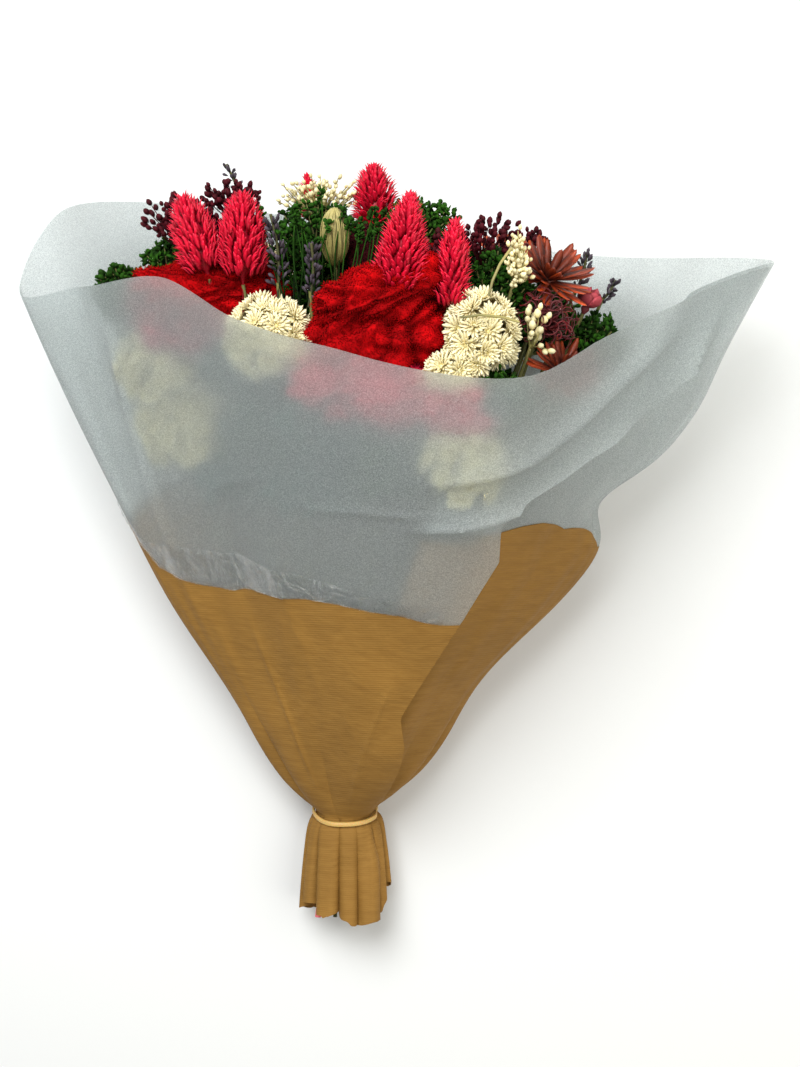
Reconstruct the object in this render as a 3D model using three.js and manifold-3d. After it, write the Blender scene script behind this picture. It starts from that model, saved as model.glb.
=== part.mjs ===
// A hand-tied bunch of dried and dyed flowers in a two-tone wrap, lying on its back.
// Millimetres. X runs across the bunch, Y along it from the cut stems to the flower heads, Z up from
// the surface that it lies on. The working origin is on that surface, under the middle of the tie;
// the group is moved at the end so that its own origin is under the middle of the whole bunch.
// The wrap is one spiral sheet: it starts under the front panel, runs round the right fold, the back
// and the left fold, and ends as the front panel's free edge. Kraft paper makes its lower part and a
// fibre sheet its upper part. Inside, every flower head sits on a stem of its own, and the stems are
// bound by an inner tie.
import * as THREE from "three";
import { mergeVertices } from "three/addons/utils/BufferGeometryUtils.js";
import Module from "manifold-3d";

const wasm = await Module();
wasm.setup();

// ---------- driving dimensions ----------
const SHEET = 0.8; // thickness of the wrap's sheets
const SEAM_GAP = 0.4; // half the gap between the kraft paper and the fibre sheet
const LAYER_STEP = 2.8; // how far the front panel lies outside the layer that it overlaps
const EDGE_LIFT = 9; // how far more the front panel's free edge stands off
// How much wider a stem's channel is; the flats of a three-sided stem clear it by half of this.
const CHANNEL = 0.7;
const CLEAR = 0.35; // least gap between neighbouring pieces
// Half sizes of the gathered neck, its middle's height and the lean of its ring.
const TIE = { x: 18, z: 15.2, height: 19.5, lean: 0.36 };
const SKIRT = { length: 66, x: 29.5, z: 19, pleats: 9, pleat: 3.9, neckPleat: 0.5 };
const BAND = { width: 3.6, thick: 1.6 };
const INNER_TIE = { x: 14.9, z: 11.9, width: 5, thick: 1.3 };
const SLUG = { x: 14.1, z: 11.1, half: 9 }; // the stems where they are pressed together in the tie
const STEM = { foot: -60, radius: 1.4, tip: 1.1, spread: 1.25 };

// The wrap's top edge, as angle round the section (0 right, 90 front, 180 left, 270 back), x, y and z.
const RIM = [
  [0, 251, 329, 100],
  [23, 230, 322, 124],
  [56, 141, 278, 176],
  [66, 100, 256, 197],
  [77, 55, 257, 203],
  [90, 2, 269, 196],
  [106, -52, 288, 178],
  [120, -93, 313, 154],
  [139, -140, 312, 128],
  [180, -186, 313, 100],
  [207, -166, 360, 88],
  [225, -132, 375, 46],
  [257, -40, 375, 1],
  [284, 60, 362, 0],
  [306, 149, 344, 34],
  [344, 240, 334, 86],
];
// Where kraft paper meets fibre sheet, as unrolled angle and share of the way from neck to rim.
const SEAM = [
  [-340, 0.43],
  [-300, 0.5],
  [-283, 0.516],
  [-269, 0.511],
  [-260, 0.497],
  [-250, 0.477],
  [-236, 0.453],
  [-222, 0.466],
  [-207, 0.482],
  [-197, 0.5],
  [-188, 0.56],
  [-180, 0.58],
  [-90, 0.5],
  [0, 0.5],
  [37, 0.577],
  [55, 0.62],
  [110, 0.64],
];
// The front panel's free edge, as share of the way from neck to rim and unrolled angle.
const FREE_EDGE = [
  [-1, -318],
  [0, -318],
  [0.04, -305],
  [0.08, -297],
  [0.13, -294.5],
  [0.22, -293],
  [0.29, -289],
  [0.41, -292],
  [0.51, -294.5],
  [0.63, -297],
  [0.72, -295],
  [0.76, -297],
  [0.79, -306],
  [0.82, -321],
  [0.9, -337],
  [1, -345],
];
const INNER_EDGE = 100; // angle at which the sheet starts, under the front panel
const STRAIGHT_COLUMNS = 38; // columns of ten degrees: the two layers' columns lie over each other
const EDGE_COLUMNS = 5; // columns that make up the rest, to the free edge
const NECK = { above: 0.012, below: 0.06 }; // shares between which the neck is straight, under the band

// ---------- the flower heads ----------
// at is the middle of a head, or the foot of a spike; size is its half size along X, Y and Z.
const HEADS = [
  { name: "red_comb_left", kind: "comb", at: [-74, 303, 116], size: [50, 24, 23], tilt: 0.06, detail: 3 },
  { name: "red_comb_centre", kind: "comb", at: [21, 280, 155], size: [42, 31, 25], tilt: 0.25, detail: 3 },
  { name: "burgundy_comb", kind: "comb", at: [20, 324, 114], size: [26, 22, 22], tilt: 0, detail: 2 },
  { name: "red_comb_back", kind: "comb", at: [58, 328, 44], size: [32, 25, 26], tilt: 0, detail: 2 },
  { name: "red_spike_left", kind: "spike", at: [-71, 310, 139], tip: [-88, 363, 146], radius: 15 },
  { name: "red_spike_left_inner", kind: "spike", at: [-53, 306, 143], tip: [-52, 363, 160], radius: 15 },
  { name: "red_spike_right", kind: "spike", at: [33, 303, 172], tip: [40, 356, 188], radius: 16 },
  { name: "red_spike_right_small", kind: "spike", at: [61, 296, 168], tip: [64, 342, 180], radius: 11 },
  { name: "red_spike_top", kind: "spike", at: [20, 350, 94], tip: [19, 387, 99], radius: 13 },
  { name: "red_spike_top_small", kind: "spike", at: [-19, 360, 76], tip: [-21, 385, 80], radius: 8 },
  { name: "white_everlasting_left", kind: "everlasting", at: [-37, 283, 156], size: [22, 17, 17], count: 5 },
  { name: "white_everlasting_right", kind: "everlasting", at: [78, 278, 168], size: [19, 25, 19], count: 5 },
  { name: "white_everlasting_low_left", kind: "everlasting", at: [-95, 240, 92], size: [24, 32, 20], count: 4 },
  { name: "white_everlasting_low_right", kind: "everlasting", at: [72, 206, 124], size: [24, 24, 17], count: 4 },
  { name: "white_everlasting_back", kind: "everlasting", at: [-58, 326, 46], size: [28, 24, 24], count: 3 },
  { name: "green_centre", kind: "foliage", at: [-14, 334, 110], size: [31, 28, 22], count: 8 },
  { name: "green_left", kind: "foliage", at: [-126, 312, 100], size: [17, 17, 15], count: 4 },
  { name: "green_left_inner", kind: "foliage", at: [-98, 330, 96], size: [17, 14, 14], count: 4 },
  { name: "green_top", kind: "foliage", at: [44, 350, 106], size: [24, 15, 14], count: 5 },
  { name: "green_right", kind: "foliage", at: [88, 302, 132], size: [19, 30, 19], count: 7 },
  { name: "green_far_right", kind: "foliage", at: [145, 282, 104], size: [18, 18, 17], count: 4 },
  { name: "green_front", kind: "foliage", at: [-33, 232, 126], size: [36, 36, 21], count: 6 },
  { name: "green_front_right", kind: "foliage", at: [21, 211, 128], size: [24, 30, 21], count: 5 },
  { name: "green_back", kind: "foliage", at: [2, 334, 36], size: [30, 26, 27], count: 4 },
  { name: "green_back_left", kind: "foliage", at: [-98, 304, 58], size: [22, 25, 25], count: 4 },
  { name: "green_back_right", kind: "foliage", at: [116, 300, 48], size: [28, 26, 26], count: 4 },
  { name: "maroon_spray_left", kind: "spray", at: [-92, 350, 114], size: [23, 18, 17], count: 10 },
  { name: "maroon_spray_top", kind: "spray", at: [-60, 370, 112], size: [20, 14, 14], count: 9 },
  { name: "maroon_spray_right", kind: "spray", at: [84, 338, 120], size: [22, 15, 15], count: 10 },
  { name: "maroon_spray_far_right", kind: "spray", at: [112, 340, 98], size: [10, 10, 9], count: 5 },
  { name: "maroon_spray_back", kind: "spray", at: [-86, 346, 72], size: [22, 14, 16], count: 9 },
  { name: "cream_spray_top", kind: "spray", at: [-12, 372, 96], size: [27, 12, 12], count: 10 },
  { name: "cream_spray_right", kind: "spray", at: [104, 320, 150], size: [9, 20, 10], count: 8 },
  { name: "cream_spray_low", kind: "spray", at: [108, 281, 156], size: [10, 17, 8], count: 7 },
  { name: "lavender_left", kind: "lavender", at: [-33, 306, 150], tip: [-37, 348, 164], radius: 8 },
  { name: "lavender_centre", kind: "lavender", at: [-15, 300, 160], tip: [-14, 330, 172], radius: 7 },
  { name: "lavender_top", kind: "lavender", at: [-56, 355, 92], tip: [-68, 388, 100], radius: 5 },
  { name: "lavender_right", kind: "lavender", at: [136, 312, 98], tip: [142, 336, 104], radius: 6 },
  { name: "lavender_far_right", kind: "lavender", at: [150, 306, 96], tip: [160, 320, 99], radius: 5 },
  { name: "rust_star", kind: "star", at: [118, 316, 120], radius: 29, petals: [10, 7, 4] },
  { name: "rust_star_low", kind: "star", at: [125, 262, 134], radius: 22, petals: [8, 6] },
  { name: "rust_star_back", kind: "star", at: [98, 334, 76], radius: 22, petals: [7, 6] },
  { name: "maroon_curls", kind: "curls", at: [113, 288, 134], radius: 22, count: 12 },
  { name: "rose_bud", kind: "star", at: [140, 301, 116], radius: 13, petals: [6, 4] },
  { name: "straw_head", kind: "straw", at: [-2, 336, 146], size: [11, 19, 10] },
];
// The one dyed stem whose cut end shows under the skirt: neck crossing, and its end.
const RED_STEM = { top: [-37, 150, 62], neck: [-9.5, 0, 24], end: [-17, -66.5, 27], radius: 1.7 };

// ---------- small helpers ----------
const v3 = (p) => new THREE.Vector3(p[0], p[1], p[2]);
const lerp = THREE.MathUtils.lerp;
const smooth = THREE.MathUtils.smoothstep;
const rad = THREE.MathUtils.degToRad;
const GOLDEN_ANGLE = Math.PI * (3 - Math.sqrt(5));
const UP_Y = new THREE.Vector3(0, 1, 0);

// Repeatable random numbers, one stream for each seed.
function randomFrom(seed) {
  let state = seed;
  return () => {
    state = (state + 0x6d2b79f5) | 0;
    let t = Math.imul(state ^ (state >>> 15), 1 | state);
    t = (t + Math.imul(t ^ (t >>> 7), 61 | t)) ^ t;
    return ((t ^ (t >>> 14)) >>> 0) / 4294967296;
  };
}

// A closed mesh, given by its corners and triangles, as a solid with its faces pointing out.
function solidOf(points, faces) {
  const vertProperties = new Float32Array(points.flatMap((p) => [p.x, p.y, p.z]));
  const build = (order) => {
    const triVerts = new Uint32Array(order.flat());
    return new wasm.Manifold(new wasm.Mesh({ numProp: 3, vertProperties, triVerts }));
  };
  const made = build(faces);
  return made.volume() < 0 ? build(faces.map(([a, b, c]) => [a, c, b])) : made;
}

// A three.js geometry as a solid.
function solidOfGeometry(geometry) {
  geometry.deleteAttribute("normal");
  geometry.deleteAttribute("uv");
  const merged = mergeVertices(geometry, 1e-4);
  const position = merged.getAttribute("position");
  const pointAt = (_, i) => new THREE.Vector3().fromBufferAttribute(position, i);
  const points = Array.from({ length: position.count }, pointAt);
  const index = merged.index.array;
  const faceAt = (_, i) => [index[3 * i], index[3 * i + 1], index[3 * i + 2]];
  const faces = Array.from({ length: index.length / 3 }, faceAt);
  return solidOf(points, faces.filter(([a, b, c]) => a !== b && b !== c && a !== c));
}

function geometryOf(solid) {
  const mesh = solid.getMesh();
  const position = new Float32Array(mesh.numVert * 3);
  for (let i = 0; i < mesh.numVert; i++)
    position.set(mesh.vertProperties.subarray(i * mesh.numProp, i * mesh.numProp + 3), i * 3);
  const geometry = new THREE.BufferGeometry();
  geometry.setAttribute("position", new THREE.BufferAttribute(position, 3));
  geometry.setIndex(new THREE.BufferAttribute(new Uint32Array(mesh.triVerts), 1));
  geometry.computeVertexNormals();
  return geometry;
}

// The largest connected body of a solid: cutting a channel can leave loose scraps.
function mainBody(solid) {
  const bodies = solid.decompose();
  return bodies.reduce((best, body) => (body.volume() > best.volume() ? body : best), bodies[0]);
}

const boxesNear = (a, b, margin) => {
  const p = a.boundingBox();
  const q = b.boundingBox();
  return [0, 1, 2].every((k) => p.min[k] - margin < q.max[k] && q.min[k] - margin < p.max[k]);
};
const isClear = (solid, others, margin) =>
  others.every((other) => !boxesNear(solid, other, margin) || solid.minGap(other, margin) >= margin);

// Two unit vectors square to an axis and to each other.
function sideVectors(axis) {
  const guide = Math.abs(axis.z) < 0.9 ? new THREE.Vector3(0, 0, 1) : new THREE.Vector3(1, 0, 0);
  const side = new THREE.Vector3().crossVectors(axis, guide).normalize();
  return [side, new THREE.Vector3().crossVectors(side, axis).normalize()];
}

// A rod that swells and narrows along a path. Its stations are { at, width, thick }, and the first
// and last are points.
function spindle(stations, sides, flatTo) {
  const first = stations[0].at;
  const last = stations[stations.length - 1].at;
  const along = new THREE.Vector3().subVectors(last, first).normalize();
  let [side, up] = sideVectors(along);
  if (flatTo) {
    side = new THREE.Vector3().crossVectors(along, flatTo).normalize();
    up = new THREE.Vector3().crossVectors(side, along).normalize();
  }
  const points = [first];
  const rings = stations.slice(1, -1);
  for (const ring of rings)
    for (let k = 0; k < sides; k++) {
      const turn = (2 * Math.PI * k) / sides + Math.PI / 2;
      points.push(
        ring.at
          .clone()
          .addScaledVector(side, (Math.cos(turn) * ring.width) / 2)
          .addScaledVector(up, (Math.sin(turn) * ring.thick) / 2),
      );
    }
  points.push(last);
  const faces = [];
  const at = (r, k) => 1 + r * sides + (k % sides);
  for (let k = 0; k < sides; k++) {
    faces.push([0, at(0, k + 1), at(0, k)]);
    for (let r = 0; r + 1 < rings.length; r++) {
      faces.push([at(r, k), at(r, k + 1), at(r + 1, k + 1)]);
      faces.push([at(r, k), at(r + 1, k + 1), at(r + 1, k)]);
    }
    faces.push([at(rings.length - 1, k), at(rings.length - 1, k + 1), points.length - 1]);
  }
  return solidOf(points, faces);
}

// A petal, bract, leaflet or bud: pointed at both ends, widest at the belly.
function blade(root, tip, width, thick, belly, flatTo) {
  const middle = new THREE.Vector3().lerpVectors(root, tip, belly);
  return spindle([{ at: root }, { at: middle, width, thick }, { at: tip }], 3, flatTo);
}

// A straight tapering rod with flat ends.
function rod(from, to, radiusFrom, radiusTo, sides) {
  const along = new THREE.Vector3().subVectors(to, from);
  const shape = new THREE.CylinderGeometry(radiusTo, radiusFrom, along.length(), sides, 1);
  shape.applyQuaternion(new THREE.Quaternion().setFromUnitVectors(UP_Y, along.clone().normalize()));
  const middle = new THREE.Vector3().addVectors(from, to).multiplyScalar(0.5);
  shape.translate(middle.x, middle.y, middle.z);
  return solidOfGeometry(shape);
}

// ---------- the wrap ----------
// Smooth reading of a closed table of [angle, ...values] rows.
function aroundTable(table, angle) {
  const n = table.length;
  const turn = ((angle % 360) + 360) % 360;
  let i = n - 1;
  while (i > 0 && table[i][0] > turn) i--;
  const row = (k) => table[((k % n) + n) % n];
  const key = (k) => row(k)[0] + 360 * Math.floor(k / n);
  const [k0, k1, k2, k3] = [key(i - 1), key(i), key(i + 1), key(i + 2)];
  const t = (turn - k1) / (k2 - k1);
  return row(i).slice(1).map((_, c) => {
    const [p0, p1, p2, p3] = [row(i - 1), row(i), row(i + 1), row(i + 2)].map((r) => r[c + 1]);
    const slope1 = ((p2 - p0) / (k2 - k0)) * (k2 - k1);
    const slope2 = ((p3 - p1) / (k3 - k1)) * (k2 - k1);
    const [t2, t3] = [t * t, t * t * t];
    const ends = (2 * t3 - 3 * t2 + 1) * p1 + (3 * t2 - 2 * t3) * p2;
    return ends + (t3 - 2 * t2 + t) * slope1 + (t3 - t2) * slope2;
  });
}

// Straight-line reading of an open table of [key, value] rows.
function alongTable(table, at) {
  const i = Math.max(1, table.findIndex((row) => row[0] >= at));
  const [[x0, y0], [x1, y1]] = at >= table[table.length - 1][0] ? table.slice(-2) : [table[i - 1], table[i]];
  return lerp(y0, y1, Math.min(1, Math.max(0, (at - x0) / (x1 - x0))));
}

// A point of the wrap's basic cone. share is 0 at the neck, 1 at the top edge and -1 at the skirt's end.
function conePoint(angle, share) {
  const a = rad(angle);
  const [c, s] = [Math.cos(a), Math.sin(a)];
  const wave = Math.cos(SKIRT.pleats * a + 0.8 * Math.sin(2 * a));
  if (share <= 0) {
    const down = Math.max(0, -share - NECK.below) / (1 - NECK.below);
    const open = Math.pow(down, 0.33);
    const pleat = lerp(SKIRT.neckPleat, SKIRT.pleat, smooth(down, 0, 0.7)) * wave;
    const length = SKIRT.length * (1 + 0.06 * Math.cos(a - 0.9) + 0.05 * Math.cos(5 * a));
    const x = c * (lerp(TIE.x, SKIRT.x, open) + pleat);
    const rise = s * (lerp(TIE.z, SKIRT.z, open) + pleat);
    const lean = TIE.lean * TIE.z * s * (1 - down);
    return new THREE.Vector3(x, -lean + share * length, Math.max(0, TIE.height + rise));
  }
  const fanning = smooth(share, 0.012, 0.08) * (1 - smooth(share, 0.1, 0.3));
  const pleat = SKIRT.neckPleat * wave + 2.2 * wave * fanning;
  const neck = new THREE.Vector3(
    c * (TIE.x + pleat),
    -TIE.lean * TIE.z * s,
    TIE.height + s * (TIE.z + pleat),
  );
  const rim = v3(aroundTable(RIM, angle));
  const rising = Math.max(0, share - NECK.above) / (1 - NECK.above);
  const sideways = Math.pow(rising, 0.75);
  const upward = Math.pow(rising, 0.85);
  const right = Math.pow(Math.max(0, c), 6);
  const bump = (at, width) => Math.exp(-Math.pow((share - at) / width, 2));
  const dent = 4 * bump(0.75, 0.075) - 20 * bump(0.58, 0.06);
  const waist = (c > 0 ? -15 : 4) * bump(0.25, 0.13) * c * c;
  const sag = 9 * Math.sin(Math.PI * Math.pow(rising, 0.6)) * smooth(-s, 0.3, 0.9);
  return new THREE.Vector3(
    lerp(neck.x, rim.x, sideways) + right * dent + waist,
    lerp(neck.y, rim.y, share),
    Math.max(0, lerp(neck.z, rim.z, upward) - sag),
  );
}

// The outward direction of the cone at a point.
function coneNormal(angle, share) {
  const step = 0.02;
  const around = conePoint(angle + 2, share).sub(conePoint(angle - 2, share));
  const above = conePoint(angle, Math.min(1, share + step));
  const up = above.sub(conePoint(angle, Math.max(-1, share - step)));
  return around.cross(up).normalize().negate();
}

// The second layer lies outside the first, and the free edge of the front panel stands further off.
function layerOffset(unrolled, share) {
  const nearEdge = smooth(-unrolled, 258, 312);
  const midway = smooth(share, 0.04, 0.3) * (1 - smooth(share, 0.8, 1));
  return LAYER_STEP * smooth(-unrolled, 150, 258) + EDGE_LIFT * nearEdge * midway;
}

// A point of the sheet, by unrolled angle, share and depth below its outer face.
function sheetPoint(unrolled, share, depth) {
  const point = conePoint(unrolled, share);
  point.addScaledVector(coneNormal(unrolled, share), layerOffset(unrolled, share) - depth);
  point.z = Math.max(depth, point.z);
  return point;
}

// A piece of the sheet between two rows that may differ at each angle.
function sheetSolid(rows, shareAt) {
  const columns = STRAIGHT_COLUMNS + EDGE_COLUMNS;
  const points = [];
  const faces = [];
  const width = columns + 1;
  const layer = width * (rows + 1);
  for (const depth of [0, SHEET])
    for (let j = 0; j <= rows; j++)
      for (let i = 0; i <= columns; i++) {
        const straight = INNER_EDGE - 10 * Math.min(i, STRAIGHT_COLUMNS);
        const rest = Math.max(0, i - STRAIGHT_COLUMNS) / EDGE_COLUMNS;
        let unrolled = straight;
        let share = shareAt(unrolled, j);
        for (let pass = 0; pass < 3; pass++) {
          unrolled = lerp(straight, alongTable(FREE_EDGE, share), rest);
          share = shareAt(unrolled, j);
        }
        points.push(sheetPoint(unrolled, share, depth));
      }
  const at = (k, j, i) => k * layer + j * width + i;
  const wall = (a, b, c, d) => faces.push([a, b, c], [a, c, d]);
  for (let j = 0; j < rows; j++)
    for (let i = 0; i < columns; i++) {
      wall(at(0, j, i), at(0, j, i + 1), at(0, j + 1, i + 1), at(0, j + 1, i));
      faces.push([at(1, j, i), at(1, j + 1, i + 1), at(1, j, i + 1)]);
      faces.push([at(1, j, i), at(1, j + 1, i), at(1, j + 1, i + 1)]);
    }
  for (let i = 0; i < columns; i++) {
    wall(at(1, 0, i), at(1, 0, i + 1), at(0, 0, i + 1), at(0, 0, i));
    wall(at(0, rows, i), at(0, rows, i + 1), at(1, rows, i + 1), at(1, rows, i));
  }
  for (let j = 0; j < rows; j++) {
    wall(at(0, j, 0), at(0, j + 1, 0), at(1, j + 1, 0), at(1, j, 0));
    wall(at(1, j, columns), at(1, j + 1, columns), at(0, j + 1, columns), at(0, j, columns));
  }
  return solidOf(points, faces);
}

const seamShare = (unrolled) => alongTable(SEAM, unrolled);
const SEAM_SHARE_GAP = SEAM_GAP / 300;

function kraftPaper() {
  const shares = [-1, -0.5, -NECK.below, NECK.above, 0.08, 0.2, 0.36];
  return sheetSolid(shares.length, (unrolled, j) => shares[j] ?? seamShare(unrolled) - SEAM_SHARE_GAP);
}

function fibreSheet() {
  const rows = 4;
  return sheetSolid(rows, (unrolled, j) => lerp(seamShare(unrolled) + SEAM_SHARE_GAP, 1, j / rows));
}

// ---------- bands ----------
// A flat band on a leaning oval ring, with outward(angle) added to its inner half sizes.
function ringBand(halfX, halfZ, width, thick, outward) {
  const steps = 16;
  const corners = [
    [0, -width / 2],
    [thick, -width / 2],
    [thick, width / 2],
    [0, width / 2],
  ];
  const points = [];
  const faces = [];
  for (let i = 0; i < steps; i++) {
    const a = (2 * Math.PI * i) / steps;
    for (const [out, along] of corners) {
      const extra = out + outward((360 * i) / steps);
      const rise = (halfZ + extra) * Math.sin(a);
      const x = (halfX + extra) * Math.cos(a);
      points.push(new THREE.Vector3(x, along - TIE.lean * rise, TIE.height + rise));
    }
  }
  for (let i = 0; i < steps; i++)
    for (let k = 0; k < 4; k++) {
      const [a, b] = [4 * i + k, 4 * i + ((k + 1) % 4)];
      const [c, d] = [4 * ((i + 1) % steps) + ((k + 1) % 4), 4 * ((i + 1) % steps) + k];
      faces.push([a, b, c], [a, c, d]);
    }
  return solidOf(points, faces);
}

// How far the paper under the outer band stands out: one layer at the back and right, two at the front.
function outerLayer(angle) {
  const rising = smooth(-(angle - 360), 150, 262);
  return LAYER_STEP * (angle < 90 ? smooth(angle, 12, 36) : rising);
}

// ---------- stems ----------
const neckPoint = new THREE.Vector3(0, 0, TIE.height);

// Where a head's stem goes through the tie: the head's own direction from the tie, on a smaller scale.
function neckSlot(head) {
  const reach = v3(head.at).sub(neckPoint);
  const x = (reach.x / reach.y) * 24;
  const z = (reach.z / reach.y) * 26 - 6;
  const pull = 1 / Math.max(1, Math.hypot(x / (SLUG.x - 2), z / (SLUG.z - 2)));
  return new THREE.Vector3(x * pull, 0, TIE.height + z * pull);
}

// The direction in which a head grows.
function growth(head) {
  const from = neckSlot(head);
  return (head.tip ? v3(head.tip).sub(v3(head.at)) : v3(head.at).sub(from)).normalize();
}

// How deep a stem goes into a head, as a share of the head's least half size.
const SEAT_DEPTH = {
  comb: 0.25,
  everlasting: 0.3,
  foliage: 0.3,
  star: 0.12,
  curls: 0.3,
  straw: 0.7,
  spray: 1.6,
};

// Where a head is seated on its stem.
function seatOf(head) {
  if (head.tip) return v3(head.at).addScaledVector(growth(head), 4);
  const reach = head.size ? Math.min(...head.size) : head.radius;
  return v3(head.at).addScaledVector(growth(head), -reach * SEAT_DEPTH[head.kind]);
}

function stemRods(extra) {
  const rods = [];
  HEADS.forEach((head, i) => {
    const slot = neckSlot(head);
    const seat = seatOf(head).addScaledVector(growth(head), extra);
    rods.push(rod(slot, seat, STEM.radius + extra, STEM.tip + extra, 3));
    if (i % 5 === 0 && extra === 0) {
      const footHeight = lerp(TIE.height, slot.z, STEM.spread);
      const foot = new THREE.Vector3(slot.x * STEM.spread, STEM.foot + 5 * Math.sin(3 * i), footHeight);
      rods.push(rod(slot, foot, STEM.radius, STEM.radius, 3));
    }
  });
  return rods;
}

function slug() {
  const shape = new THREE.CylinderGeometry(1, 1, 2 * SLUG.half, 10, 1);
  shape.scale(SLUG.x, 1, SLUG.z);
  shape.translate(0, 0, TIE.height);
  return solidOfGeometry(shape);
}

function redStem(extra) {
  const [top, neck, end] = [RED_STEM.top, RED_STEM.neck, RED_STEM.end].map(v3);
  const radius = RED_STEM.radius + extra;
  const along = (from, to, by) =>
    new THREE.Vector3().subVectors(to, from).normalize().multiplyScalar(by).add(to);
  return wasm.Manifold.union([
    rod(along(neck, top, extra), along(top, neck, 2 * extra), radius, radius, 5),
    rod(along(end, neck, 2 * extra), along(neck, end, extra), radius, radius, 5),
  ]);
}

// ---------- flower heads ----------
// Even directions over a sphere, without those that point back down the stem.
function* spread(count, axis, random, backCut) {
  const all = Math.ceil(count / (0.5 + 0.5 * backCut));
  for (let i = 0; i < all; i++) {
    const h = 1 - (2 * (i + 0.5)) / all;
    const turn = GOLDEN_ANGLE * i + 0.3 * random();
    const ring = Math.sqrt(1 - h * h);
    const way = new THREE.Vector3(ring * Math.cos(turn), ring * Math.sin(turn), h).normalize();
    if (way.dot(axis) > -backCut) yield way;
  }
}

// The small middle that a flower's petals are rooted in.
function ball(at, radius) {
  const shape = new THREE.IcosahedronGeometry(radius, 0);
  shape.translate(...at);
  return solidOfGeometry(shape);
}

// A cockscomb: a full, folded, ridged velvet mass, higher at its right end by its tilt.
function combCore(head) {
  const shape = new THREE.IcosahedronGeometry(1, head.detail);
  const position = shape.getAttribute("position");
  const p = new THREE.Vector3();
  const fullness = 2.6;
  for (let i = 0; i < position.count; i++) {
    p.fromBufferAttribute(position, i);
    const across = Math.sin(8.2 * p.x + 2.8 * Math.sin(4.1 * p.y + head.at[0]));
    const fold = across * Math.cos(6.4 * p.y + 5.3 * p.z);
    const corner = [p.x, p.y, p.z].reduce((sum, k) => sum + Math.pow(Math.abs(k), fullness), 0);
    p.multiplyScalar((0.86 + 0.15 * fold) / Math.pow(corner, 1 / fullness));
    position.setXYZ(i, p.x, p.y + (head.tilt * head.size[0] * p.x) / head.size[1], p.z);
  }
  shape.scale(...head.size);
  shape.translate(...head.at);
  return solidOfGeometry(shape);
}

// A spike's body: whorls of pointed scales, each whorl turned against the one below.
function spikeCore(head) {
  const length = v3(head.tip).distanceTo(v3(head.at));
  const slim = (head.kind === "spike" ? 0.84 : 0.6) * head.radius;
  const rows = 2 * Math.max(3, Math.round(length / 11));
  const profile = [new THREE.Vector2(0, 0)];
  for (let k = 1; k < rows; k++) {
    const scaleTip = k % 2 === 0;
    const height = (k + (scaleTip ? 0.55 : 0)) / (rows + 0.4);
    const swell = Math.sin(Math.PI * (0.14 + 0.74 * height));
    profile.push(new THREE.Vector2(slim * swell * (scaleTip ? 1 : 0.55), length * height));
  }
  profile.push(new THREE.Vector2(0, length));
  const sides = head.kind === "spike" ? 8 : 6;
  const shape = new THREE.LatheGeometry(profile, sides);
  const position = shape.getAttribute("position");
  for (let i = 0; i < position.count; i++) {
    const row = i % profile.length;
    const column = Math.floor(i / profile.length) % sides;
    const whorl = Math.floor(row / 2);
    const pull = row % 2 === 0 && (column + whorl) % 2 === 0 ? 0.62 : 1;
    position.setXYZ(i, position.getX(i) * pull, position.getY(i), position.getZ(i) * pull);
  }
  shape.applyQuaternion(new THREE.Quaternion().setFromUnitVectors(UP_Y, growth(head)));
  shape.translate(...head.at);
  return solidOfGeometry(shape);
}

// Pointed bracts in a spiral, leaning out from the spike and closing over its tip.
function spikeBracts(head, random) {
  const axis = growth(head);
  const length = v3(head.tip).distanceTo(v3(head.at));
  const [side, up] = sideVectors(axis);
  const count = Math.round(3 + length * 0.15);
  const bracts = [];
  for (let i = 0; i < count; i++) {
    const part = i / (count - 1);
    const turn = GOLDEN_ANGLE * i;
    const out = side.clone().multiplyScalar(Math.cos(turn)).addScaledVector(up, Math.sin(turn));
    const bulge = Math.sin(Math.PI * Math.min(1, 0.16 + 0.78 * part)) * head.radius;
    const root = v3(head.at)
      .addScaledVector(axis, length * (0.04 + 0.72 * part))
      .addScaledVector(out, 0.06 * bulge);
    const reach = 0.95 * head.radius + 2 * random();
    const tip = root
      .clone()
      .addScaledVector(axis, reach * (0.75 + 0.35 * part))
      .addScaledVector(out, bulge * 0.92);
    bracts.push(blade(root, tip, 0.42 * head.radius, 2.8, 0.6, out));
  }
  const crown = v3(head.at).addScaledVector(axis, length * 0.8);
  bracts.push(blade(crown, v3(head.tip), 4.5, 4.5, 0.4));
  return bracts;
}

// Small calyces in whorls round a slim stalk.
function lavenderCalyces(head, random) {
  const axis = growth(head);
  const length = v3(head.tip).distanceTo(v3(head.at));
  const [side, up] = sideVectors(axis);
  const whorls = Math.max(1, Math.round(length / 16));
  const calyces = [];
  for (let w = 0; w < whorls; w++)
    for (let k = 0; k < 3; k++) {
      const turn = (2 * Math.PI * (k + 0.5 * (w % 2))) / 3 + 0.4 * random();
      const out = side.clone().multiplyScalar(Math.cos(turn)).addScaledVector(up, Math.sin(turn));
      const root = v3(head.at).addScaledVector(axis, length * (0.08 + (0.8 * w) / whorls));
      const tip = root.clone().addScaledVector(axis, 6.5).addScaledVector(out, head.radius * 0.95);
      calyces.push(blade(root, tip, 3.4, 3, 0.66, out));
    }
  return calyces;
}

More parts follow.
